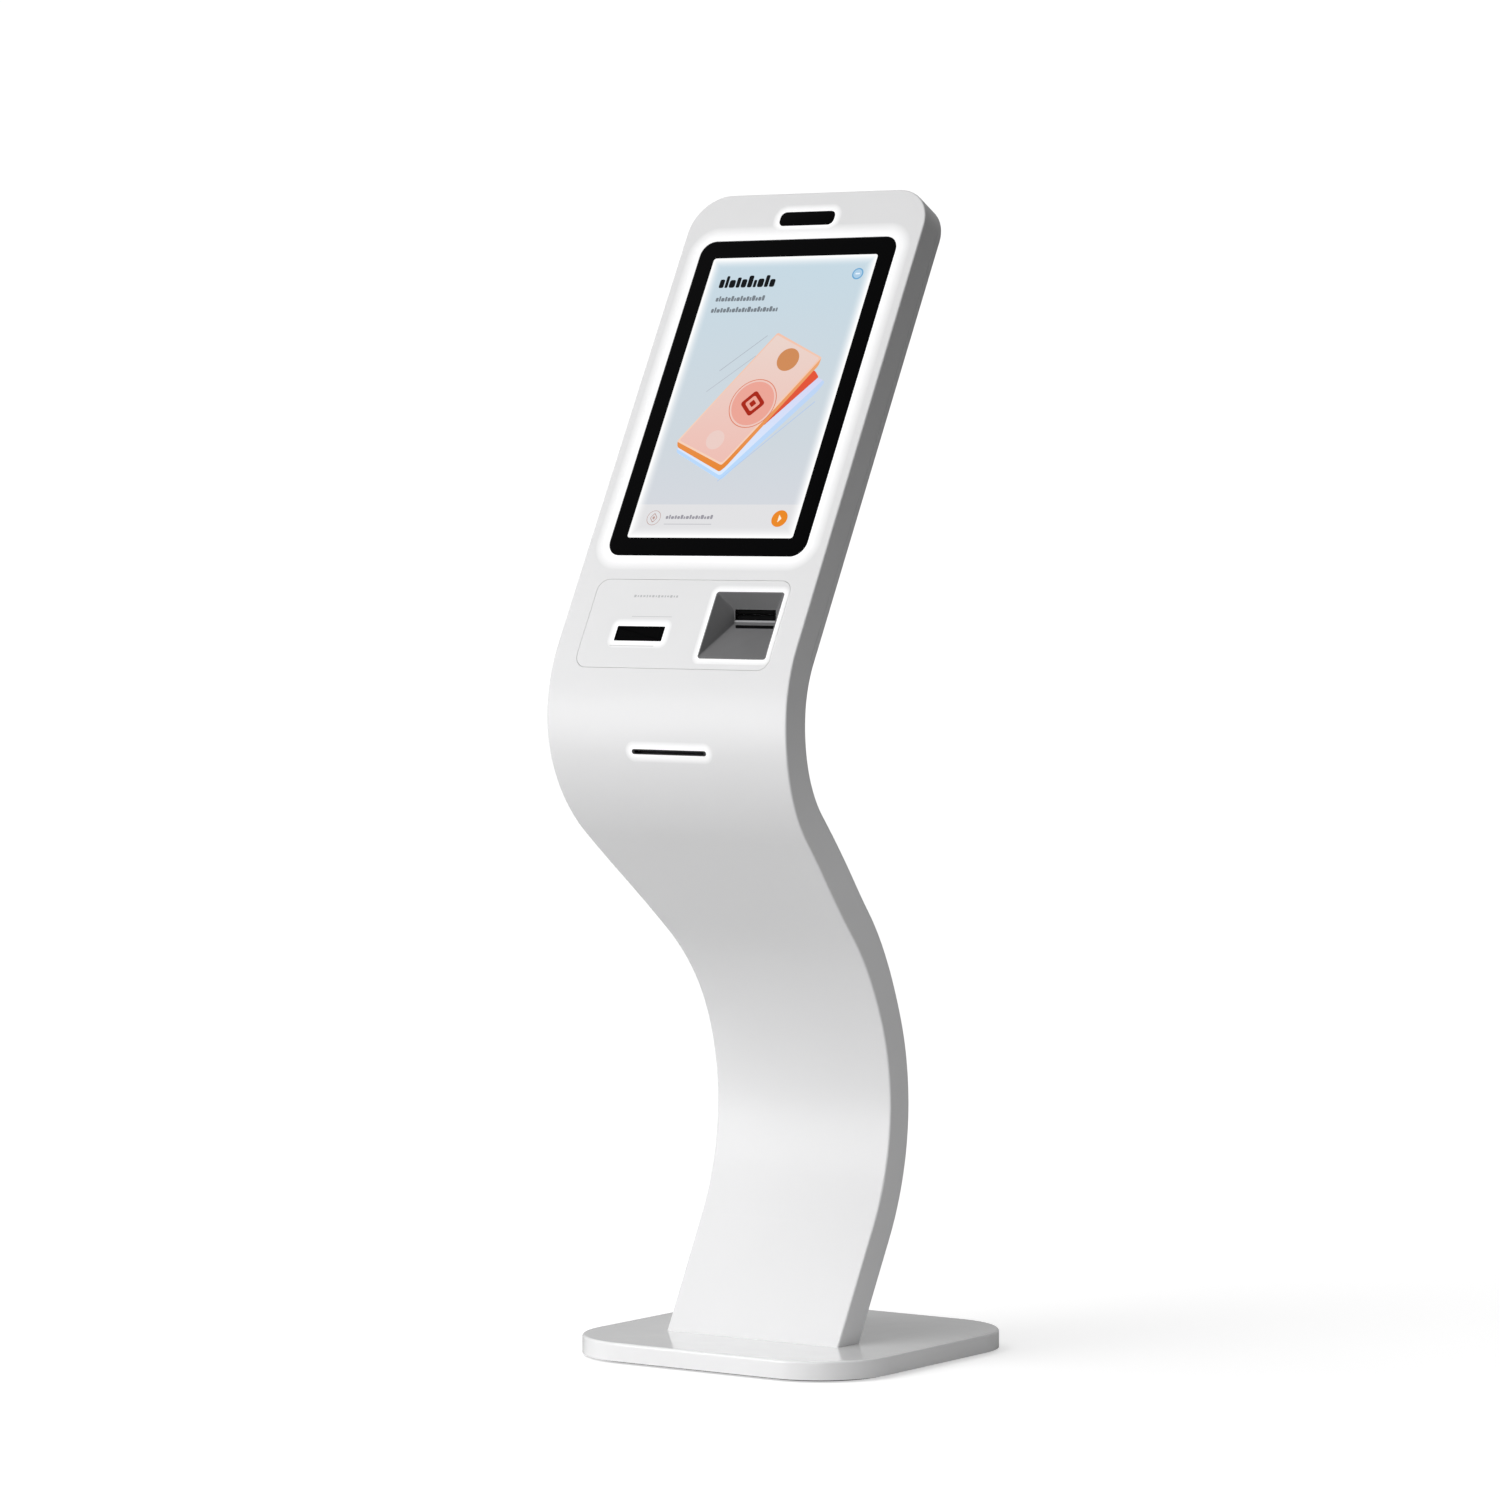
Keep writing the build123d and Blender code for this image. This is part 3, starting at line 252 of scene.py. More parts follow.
def leave():
    bpy.ops.object.mode_set(mode="OBJECT")


def outwards(centre, normal):
    return normal.z > 0.9


def backwards(centre, normal):
    return normal.z < -0.99


def sink(piece, test, margin, offset):
    """Insets the faces that pass a test and moves what is inside by an offset."""
    pick_faces(piece, test)
    bpy.ops.mesh.inset(thickness=margin, depth=0)
    bpy.ops.mesh.extrude_region_move(TRANSFORM_OT_translate={"value": offset})
    leave()
    return piece


def round_corners(piece, radius, steps=8):
    """Rounds the edges that run along Z."""
    pick_edges(piece, lambda a, b: (a - b).xy.length < 1e-7)
    bpy.ops.mesh.bevel(offset=radius, segments=steps, affect="EDGES")
    leave()
    return piece


def soften(piece, radius, steps=2, angle=35):
    """Rounds every sharp edge with a Bevel modifier, which is then applied."""
    activate(piece)
    bevel = piece.modifiers.new("Edge", "BEVEL")
    bevel.width = radius
    bevel.segments = steps
    bevel.limit_method = "ANGLE"
    bevel.angle_limit = math.radians(angle)
    bevel.use_clamp_overlap = True
    bpy.ops.object.modifier_apply(modifier=bevel.name)
    return piece


def smooth(piece, angle=40):
    activate(piece)
    bpy.ops.object.shade_smooth_by_angle(angle=math.radians(angle))
    return piece


def join(name, parts):
    """Joins several parts into one piece."""
    activate(*parts)
    if len(parts) > 1:
        bpy.ops.object.join()
    return named(name)


def copy_at(piece, offset):
    """Copy of a piece, with its own mesh, moved by an offset."""
    activate(piece)
    bpy.ops.object.duplicate(linked=False)
    bpy.ops.transform.translate(value=offset)
    bake_place()
    return bpy.context.object


def series(piece, offsets):
    """Copies of a piece at several offsets, in place of the piece itself."""
    copies = [copy_at(piece, offset) for offset in offsets]
    bpy.data.objects.remove(piece)
    return copies


def settle(piece, place, body, material, replaced=()):
    """Puts a finished piece in its place, and gives it its body, slot and finish, or the finish's name."""
    if isinstance(material, str):
        material = bpy.data.materials[material]
    activate(piece)
    piece.matrix_world = place @ piece.matrix_world
    bake_place()
    piece.data.materials.clear()
    piece.data.materials.append(material)
    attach(piece, body)
    if replaced:
        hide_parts(*replaced)
    return piece


def fit(name, parts, material, replaced=()):
    """Joins and smooths parts that stand in the face's own axes, and fixes them to the cabinet."""
    return settle(smooth(join(name, parts)), glass_place, "cabinet", material, replaced)


def outline_piece(name, points, low, high, corner=0.0, steps=5):
    """Flat prism over an outline, with rounded corners: a filled circle whose corners are placed."""
    deselect()
    bpy.ops.mesh.primitive_circle_add(vertices=len(points), radius=1, fill_type="NGON")
    piece = named(name)
    mesh = edit(piece, "VERT")
    mesh.verts.ensure_lookup_table()
    for vertex, point in zip(mesh.verts, points):
        vertex.co = Vector((point[0], point[1], low))
        vertex.select_set(True)
    bmesh.update_edit_mesh(piece.data)
    if corner > 0:
        bpy.ops.mesh.bevel(offset=corner, segments=steps, affect="VERTICES")
    bpy.ops.mesh.select_all(action="SELECT")
    bpy.ops.mesh.extrude_region_move(TRANSFORM_OT_translate={"value": (0, 0, high - low)})
    bpy.ops.mesh.select_all(action="SELECT")
    bpy.ops.mesh.normals_make_consistent(inside=False)
    leave()
    return piece


# ------------------------------------------------------------------ finishes
class Finish:
    """One material under construction: its tree, its shader and shortcuts for its nodes."""

    def __init__(self, name, colour, roughness, metallic=0.0, **sockets):
        self.material = bpy.data.materials.new(name)
        self.material.use_nodes = True
        self.tree = self.material.node_tree
        self.shader = self.tree.nodes["Principled BSDF"]
        self.shader.inputs["Base Color"].default_value = (*colour, 1)
        self.shader.inputs["Roughness"].default_value = roughness
        self.shader.inputs["Metallic"].default_value = metallic
        for socket, value in sockets.items():
            self.shader.inputs[socket.replace("_", " ")].default_value = value
        self.coordinates = self.node("ShaderNodeTexCoord").outputs["Object"]

    def node(self, kind, **values):
        made = self.tree.nodes.new(kind)
        for name, value in values.items():
            setattr(made, name, value)
        return made

    def link(self, start, end):
        self.tree.links.new(start, end)

    def local(self, place):
        """Object coordinates along a place's own axes, from its origin."""
        mapping = self.node("ShaderNodeMapping", vector_type="TEXTURE")
        mapping.inputs["Location"].default_value = place.translation
        mapping.inputs["Rotation"].default_value = place.to_euler()
        self.link(self.coordinates, mapping.inputs["Vector"])
        return mapping.outputs["Vector"]

    def split(self, vector):
        """X, Y and Z of a vector."""
        parts = self.node("ShaderNodeSeparateXYZ")
        self.link(vector, parts.inputs["Vector"])
        return parts.outputs["X"], parts.outputs["Y"], parts.outputs["Z"]

    def noise(self, scale, detail=2.0, stretch=None):
        """Noise on Object coordinates, stretched where asked."""
        texture = self.node("ShaderNodeTexNoise")
        texture.inputs["Scale"].default_value = scale
        texture.inputs["Detail"].default_value = detail
        start = self.coordinates
        if stretch is not None:
            mapping = self.node("ShaderNodeMapping")
            mapping.inputs["Scale"].default_value = stretch
            self.link(start, mapping.inputs["Vector"])
            start = mapping.outputs["Vector"]
        self.link(start, texture.inputs["Vector"])
        return texture.outputs["Fac"]

    def bump(self, height, strength, distance):
        bump = self.node("ShaderNodeBump")
        bump.inputs["Strength"].default_value = strength
        bump.inputs["Distance"].default_value = distance
        self.link(height, bump.inputs["Height"])
        self.link(bump.outputs["Normal"], self.shader.inputs["Normal"])

    def ramp(self, fac, stops):
        ramp = self.node("ShaderNodeValToRGB")
        elements = ramp.color_ramp.elements
        while len(elements) < len(stops):
            elements.new(0.5)
        for element, (place, colour) in zip(elements, stops):
            element.position = place
            element.color = (*colour, 1)
        self.link(fac, ramp.inputs["Fac"])
        return ramp.outputs["Color"]

    def colour_from(self, socket):
        self.link(socket, self.shader.inputs["Base Color"])

    def mottle(self, fac, colour, share, low=0.3, high=0.7):
        """Colour that is darker by a share where the factor is low."""
        self.colour_from(self.ramp(fac, [(low, darker(colour, share)), (high, colour)]))

    def shine(self, colour, strength):
        """Emission of one colour, whose strength is a number or a socket."""
        self.shader.inputs["Emission Color"].default_value = (*colour, 1)
        if isinstance(strength, (int, float)):
            self.shader.inputs["Emission Strength"].default_value = strength
        else:
            self.link(strength, self.shader.inputs["Emission Strength"])

    def roughness_from(self, fac, low, high):
        spread = self.node("ShaderNodeMapRange")
        spread.inputs["To Min"].default_value = low
        spread.inputs["To Max"].default_value = high
        self.link(fac, spread.inputs["Value"])
        self.link(spread.outputs["Result"], self.shader.inputs["Roughness"])

    def math(self, operation, *values, clamp=False):
        """Math node with sockets or numbers as its inputs."""
        made = self.node("ShaderNodeMath", operation=operation, use_clamp=clamp)
        for entry, value in zip(made.inputs, values):
            if isinstance(value, (int, float)):
                entry.default_value = value
            else:
                self.link(value, entry)
        return made.outputs["Value"]

    def vector_math(self, operation, *values):
        made = self.node("ShaderNodeVectorMath", operation=operation)
        for entry, value in zip(made.inputs, values):
            if isinstance(value, (tuple, Vector)):
                entry.default_value = value
            else:
                self.link(value, entry)
        wanted = "Value" if operation == "LENGTH" else "Vector"
        return made.outputs[wanted]

    def ring(self, place, width, height, corner, reach):
        """1 at a rounded opening's edge, falling to 0 at the reach outside it, on the outer side."""
        near = self.local(place)
        flat = self.vector_math("MULTIPLY", near, (1.0, 1.0, 0.0))
        size = (width / 2 - corner, height / 2 - corner, 0.0)
        outside = self.vector_math("SUBTRACT", self.vector_math("ABSOLUTE", flat), size)
        away = self.vector_math("MAXIMUM", outside, (0.0, 0.0, 0.0))
        distance = self.math("SUBTRACT", self.vector_math("LENGTH", away), corner)
        share = self.math("DIVIDE", distance, reach)
        fade = self.math("SUBTRACT", 1.0, share, clamp=True)
        outer = self.math("GREATER_THAN", self.split(near)[2], -skin_half)
        return self.math("MULTIPLY", self.math("POWER", fade, 0.8), outer)


def darker(colour, share):
    return tuple(part * (1 - share) for part in colour)


def white_paint(name="white_paint", with_painted_glow=False):
    """Satin powder coat: a faint orange peel, slow tone changes and a soft coat; on the front, a painted glow: the
    paint emits white light in a halo round the openings, where there is no lamp.
    """
    look = bpy.context.scene.kiosk_finish
    white = tuple(look.white)
    paint = Finish(
        name, white, look.body_roughness, Specular_IOR_Level=0.5, Coat_Weight=0.25, Coat_Roughness=0.22
    )
    paint.mottle(paint.noise(2.4, 3.0), white, 0.025)
    paint.roughness_from(paint.noise(38, 2.0), look.body_roughness - 0.05, look.body_roughness + 0.06)
    paint.bump(paint.noise(520, 2.0), 0.10, 0.0003)
    if with_painted_glow:
        # painted glow: emission on the white paint, strongest at each opening's edge and fading outwards; no lamp
        # lights it
        rings = [
            paint.ring(glass_place, glass_width, glass_height, glass_corner, look.painted_glow_width),
            paint.ring(camera_place, camera_width, camera_height, camera_corner, look.painted_glow_small),
            paint.ring(reader_place, reader_width, reader_height, reader_corner, look.painted_glow_small),
            paint.ring(pocket_place(), pocket_width, pocket_height, pocket_corner, look.painted_glow_small),
            paint.ring(receipt_place, receipt_width, receipt_height, receipt_height / 2, look.painted_glow_small),
        ]
        glow = rings[0]
        for ring in rings[1:]:
            glow = paint.math("MAXIMUM", glow, ring)
        paint.shine((1, 1, 1), paint.math("MULTIPLY", glow, look.painted_glow_strength))
    return paint.material


def white_lacquer():
    """Gloss lacquer of the base, with a very slight haze."""
    look = bpy.context.scene.kiosk_finish
    white = tuple(look.base_white)
    paint = Finish(
        "white_lacquer", white, look.base_roughness, Coat_Weight=0.8, Coat_Roughness=0.06
    )
    paint.mottle(paint.noise(3.0, 2.0), white, 0.02)
    paint.roughness_from(paint.noise(26, 2.0), look.base_roughness - 0.03, look.base_roughness + 0.05)
    paint.bump(paint.noise(160, 1.0), 0.04, 0.0003)
    return paint.material


def moulded(name, colour, roughness, grain=900, depth=0.22):
    """Moulded plastic with a fine spark-eroded grain."""
    plastic = Finish(name, colour, roughness, Specular_IOR_Level=0.42)
    plastic.mottle(plastic.noise(14, 3.0), colour, 0.10)
    plastic.roughness_from(plastic.noise(60, 2.0), roughness - 0.06, roughness + 0.08)
    plastic.bump(plastic.noise(grain, 2.0), depth, 0.0002)
    return plastic.material


def cover_glass():
    """Black-printed cover glass: deep black under a mirror-smooth face."""
    glass = Finish("cover_glass", (0.0015, 0.0015, 0.0017), 0.07, IOR=1.5, Specular_IOR_Level=0.04)
    glass.roughness_from(glass.noise(45, 3.0), 0.05, 0.11)
    return glass.material


def sheet_steel(name, colour, roughness, stretch=(3, 3, 140)):
    """Rolled or brushed metal with fine lines along one direction."""
    metal = Finish(name, colour, roughness, metallic=1.0)
    lines = metal.noise(6, 4.0, stretch=stretch)
    metal.mottle(lines, colour, 0.18, 0.25, 0.75)
    metal.roughness_from(lines, roughness - 0.07, roughness + 0.10)
    metal.bump(lines, 0.06, 0.0002)
    return metal.material


def zinc_plate():
    """Zinc plate with its cloudy spangle."""
    colour = (0.56, 0.57, 0.58)
    metal = Finish("zinc_plate", colour, 0.36, metallic=1.0)
    cells = metal.node("ShaderNodeTexVoronoi")
    cells.inputs["Scale"].default_value = 120
    metal.link(metal.coordinates, cells.inputs["Vector"])
    tone = metal.math("MULTIPLY", cells.outputs["Distance"], 1.2)
    metal.mottle(tone, colour, 0.22, 0.0, 0.9)
    metal.roughness_from(metal.noise(70, 3.0), 0.28, 0.46)
    metal.bump(metal.noise(300, 2.0), 0.08, 0.0002)
    return metal.material


def polished():
    """Bright nickel, with light handling haze."""
    metal = Finish("polished", (0.72, 0.72, 0.73), 0.12, metallic=1.0)
    metal.roughness_from(metal.noise(180, 3.0), 0.07, 0.22)
    metal.bump(metal.noise(420, 2.0), 0.04, 0.0002)
    return metal.material


def circuit_green():
    """Solder mask over faint copper tracks."""
    green = (0.008, 0.10, 0.045)
    mask = Finish("circuit_green", green, 0.32, Coat_Weight=0.6, Coat_Roughness=0.12)
    tracks = mask.node("ShaderNodeTexBrick")
    tracks.inputs["Scale"].default_value = 260
    tracks.inputs["Mortar Size"].default_value = 0.035
    tracks.inputs["Color1"].default_value = (0, 0, 0, 1)
    tracks.inputs["Color2"].default_value = (0.25, 0.25, 0.25, 1)
    tracks.inputs["Mortar"].default_value = (1, 1, 1, 1)
    mask.link(mask.local(glass_turn), tracks.inputs["Vector"])
    mask.colour_from(mask.ramp(tracks.outputs["Color"], [(0.1, green), (0.9, (0.02, 0.20, 0.085))]))
    mask.bump(tracks.outputs["Color"], 0.15, 0.0001)
    return mask.material


def rubber():
    colour = (0.018, 0.018, 0.019)
    black = Finish("rubber", colour, 0.72, Sheen_Weight=0.15)
    black.colour_from(black.ramp(black.noise(40, 3.0), [(0.3, colour), (0.8, (0.035, 0.035, 0.036))]))
    black.bump(black.noise(1100, 2.0), 0.3, 0.0002)
    return black.material


def thermal_paper():
    """Wound paper: fine layers that show on the roll's ends."""
    white = (0.86, 0.86, 0.84)
    paper = Finish("thermal_paper", white, 0.6)
    low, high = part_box("paper_roll")
    near = paper.local(Matrix.Translation((low + high) / 2))
    flat = paper.vector_math("MULTIPLY", near, (0.0, 1.0, 1.0))
    turns = paper.math("SINE", paper.math("MULTIPLY", paper.vector_math("LENGTH", flat), 9000.0))
    paper.colour_from(paper.ramp(turns, [(0.0, (0.62, 0.62, 0.60)), (0.6, white)]))
    paper.bump(paper.noise(700, 3.0), 0.12, 0.0002)
    return paper.material


def lit(name, colour):
    """Lit part of the screen, behind smooth glass."""
    glow = Finish(name, (0.0, 0.0, 0.0), 0.09, Specular_IOR_Level=0.12)
    glow.shine(colour, bpy.context.scene.kiosk_screen.brightness)
    return glow


def graded(name, place, half, stops):
    """Lit finish whose colour changes along a place's own Y, from -half to half."""
    glow = lit(name, stops[0][1])
    height = glow.split(glow.local(place))[1]
    share = glow.math("ADD", glow.math("DIVIDE", height, 2 * half), 0.5, clamp=True)
    glow.link(glow.ramp(share, stops), glow.shader.inputs["Emission Color"])
    return glow


# ------------------------------------------------------------------ places of the pocket and the slot
def chin_place():
    """Middle of the receipt slot's face: X right, Y up the chin, Z outwards."""
    low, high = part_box("receipt_bezel")
    sine, cosine = chin_up.y, chin_up.z
    out = Vector((0, -cosine, sine))
    middle = (low + high) / 2
    matrix = Matrix((Vector((1, 0, 0)), chin_up, out)).transposed().to_4x4()
    points = [vertex.co for vertex in nodes["receipt_bezel"].data.vertices]
    front = max((point - middle).dot(out) for point in points)
    lip = [point for point in points if (point - middle).dot(out) > front - 1e-5]
    slot_low = Vector(map(min, *lip))
    slot_high = Vector(map(max, *lip))
    matrix.translation = (slot_low + slot_high) / 2
    return matrix, slot_high.x - slot_low.x, (slot_high - slot_low).yz.length


receipt_place, receipt_width, receipt_height = chin_place()


def along_face(point):
    """Distances right, up and outwards of a point from the middle of the glass's face."""
    return glass_turn.inverted() @ (point - glass_place.translation)


def face_box(node):
    """Low and high corners of a CAD piece along the face's own axes."""
    points = [along_face(vertex.co) for vertex in nodes[node].data.vertices]
    return Vector(map(min, *points)), Vector(map(max, *points))


def pocket_mouth():
    """Middle and size of the pocket's mouth in the glass's plane."""
    points = [along_face(vertex.co) for vertex in nodes["cash_pocket"].data.vertices]
    front = [point for point in points if point.z > -face_seam]
    low = Vector(map(min, *front))
    high = Vector(map(max, *front))
    return (low + high) / 2, high.x - low.x - 2 * pocket_wall, high.y - low.y - 2 * pocket_wall


mouth_middle, pocket_width, pocket_height = pocket_mouth()


def pocket_place():
    place = glass_turn.copy()
    centre = Vector((mouth_middle.x, mouth_middle.y, 0))
    place.translation = glass_place.translation + glass_turn @ centre
    return place


# ------------------------------------------------------------------ stage
class KIOSK_OT_stage(bpy.types.Operator):
    """Makes the camera, the pale floor and the soft studio light"""

    bl_idname = "kiosk.stage"
    bl_label = "Stage"

    camera_at = (4.445, -6.478, 1.1753)
    camera_turn = (87.45, 0, 34.87)
    camera_lens = 138.16
    floor_size = 60
    floor_lift = 0.60
    flag_at = (1.55, 0.6, 2.25)
    flag_size = (4.5, 4.6, 1)
    flag_glow = 0.66
    studio_light = 0.42
    studio_backdrop = 1.05

    def execute(self, context):
        scene = context.scene
        scene.view_settings.view_transform = "Standard"
        deselect()
        turn = tuple(math.radians(angle) for angle in self.camera_turn)
        bpy.ops.object.camera_add(location=self.camera_at, rotation=turn)
        camera = bpy.context.object
        camera.name = "camera"
        camera.data.lens = self.camera_lens
        camera.data.sensor_width = 36
        camera.data.clip_end = 200
        scene.camera = camera
        self.floor()
        flag = self.flag()
        self.world(scene)
        for lamp in self.lamps():
            lamp.light_linking.blocker_collection = self.unblocked(flag)
        return {"FINISHED"}

    def floor(self):
        """Pale floor that looks a little lighter than it is lit."""
        deselect()
        bpy.ops.mesh.primitive_plane_add(size=self.floor_size, location=(0, 0, -0.0005))
        floor = named("floor")
        finish = Finish("floor_white", (0.62, 0.62, 0.62), 0.85, Specular_IOR_Level=0.1)
        seen = finish.node("ShaderNodeLightPath").outputs["Is Camera Ray"]
        finish.shine((1, 1, 1), finish.math("MULTIPLY", seen, self.floor_lift))
        floor.data.materials.append(finish.material)

    def flag(self):
        """Dark screen beside the object that shades its right side, and isn't seen itself."""
        deselect()
        upright = (0, math.radians(90), 0)
        bpy.ops.mesh.primitive_plane_add(size=1, location=self.flag_at, rotation=upright)
        flag = named("flag")
        flag.scale = self.flag_size
        bake_place()
        finish = Finish("flag_black", (0.02, 0.02, 0.02), 0.9, Specular_IOR_Level=0.0)
        fade = finish.node("ShaderNodeMapRange")
        fade.inputs["From Max"].default_value = 1.1
        fade.inputs["To Min"].default_value = self.flag_glow
        fade.inputs["To Max"].default_value = 0.0
        finish.link(finish.split(finish.coordinates)[2], fade.inputs["Value"])
        finish.shine((1, 1, 1), fade.outputs["Result"])
        flag.data.materials.append(finish.material)
        flag.visible_camera = False
        return flag

    def unblocked(self, flag):
        """Collection that keeps the flag out of the lamps' shadows, so that it only dims the studio."""
        blockers = bpy.data.collections.get("lamp_blockers")
        if blockers is None:
            blockers = bpy.data.collections.new("lamp_blockers")
            blockers.objects.link(flag)
            blockers.collection_objects[0].light_linking.link_state = "EXCLUDE"
        return blockers

    def world(self, scene):
        """Even studio that is dimmer as a light than it looks behind the object."""
        world = bpy.data.worlds.new("studio")
        scene.world = world
        world.use_nodes = True
        tree = world.node_tree
        background = tree.nodes["Background"]
        seen = tree.nodes.new("ShaderNodeLightPath")
        strength = tree.nodes.new("ShaderNodeMapRange")
        strength.inputs["To Min"].default_value = self.studio_light
        strength.inputs["To Max"].default_value = self.studio_backdrop
        tree.links.new(seen.outputs["Is Camera Ray"], strength.inputs["Value"])
        tree.links.new(strength.outputs["Result"], background.inputs["Strength"])
        background.inputs["Color"].default_value = (1, 1, 1, 1)

    def lamps(self):
        """Large soft boxes: a key from the front left, a low fill for the leg and an open sky."""
        boxes = (
            ("key", (-1.9, -3.8, 0.75), (0, 0, 0.35), 2.4, 52, 180),
            ("fill", (1.5, -3.6, 0.35), (0, -0.2, 0.10), 1.2, 1.0, 40),
        )
        lamps = []
        for name, place, target, size, power, spread in boxes:
            deselect()
            bpy.ops.object.light_add(type="AREA", location=place)
            lamp = bpy.context.object
            lamp.name = name
            lamp.data.shape = "DISK"
            lamp.data.size = size
            lamp.data.energy = power
            lamp.data.spread = math.radians(spread)
            aim = Vector(target) - Vector(place)
            lamp.rotation_euler = aim.to_track_quat("-Z", "Y").to_euler()
            lamps.append(lamp)
        deselect()
        bpy.ops.object.light_add(type="SUN", location=(-2, -3, 4))
        sky = bpy.context.object
        sky.name = "sky"
        sky.data.energy = 1.5
        sky.visible_glossy = False
        sky.data.angle = math.radians(50)
        sky.rotation_euler = Vector((0.40, 0.52, -0.76)).to_track_quat("-Z", "Y").to_euler()
        return [*lamps, sky]


# ------------------------------------------------------------------ finishes of the CAD pieces
class KIOSK_OT_finishes(bpy.types.Operator):
    """Gives every CAD piece its finish"""

    bl_idname = "kiosk.finishes"
    bl_label = "Finishes"

    def execute(self, context):
        look = context.scene.kiosk_finish
        # the front skin and the faceplate get the white paint with a painted glow round their openings
        front = white_paint("white_paint_front_painted_glow", with_painted_glow=True)
        # feed rollers: black rubber, darkened further with almost no reflection to paint the shade seen through
        # the note slot
        shade_black_tyre = moulded("roller_black_painted_shade", (0.004, 0.004, 0.0042), 0.8, 600, 0.3)
        shade_black_tyre.node_tree.nodes["Principled BSDF"].inputs["Specular IOR Level"].default_value = 0.08
        finishes = {
            "white_paint": white_paint(),
            "white_gloss": white_lacquer(),
            "pocket_grey": moulded("pocket_plastic", tuple(look.pocket_grey), 0.5),
            "black_glass": cover_glass(),
            "black_plastic": moulded("black_plastic", (0.014, 0.014, 0.015), 0.45),
            "display_metal": sheet_steel("panel_housing", (0.42, 0.43, 0.44), 0.35),
            "steel": zinc_plate(),
            "dark_steel": sheet_steel("black_steel", (0.06, 0.06, 0.065), 0.5, (60, 4, 4)),
            "aluminium": sheet_steel("mill_aluminium", (0.66, 0.67, 0.68), 0.32),
            "board_green": circuit_green(),
            "rubber": rubber(),
            "paper": thermal_paper(),
            "chrome": polished(),
            "cable_black": moulded("cable_jacket", (0.02, 0.02, 0.02), 0.55, 400, 0.1),
        }
        for name, piece in nodes.items():
            finish = finishes[slots[name]]
            if name in ("front_skin", "module_faceplate"):
                finish = front
            # the feed rollers take the near-black finish that paints the slot's shade
            if name.startswith("feed_roller"):
                finish = shade_black_tyre
            for place in piece.material_slots:
                place.material = finish
        return {"FINISHED"}


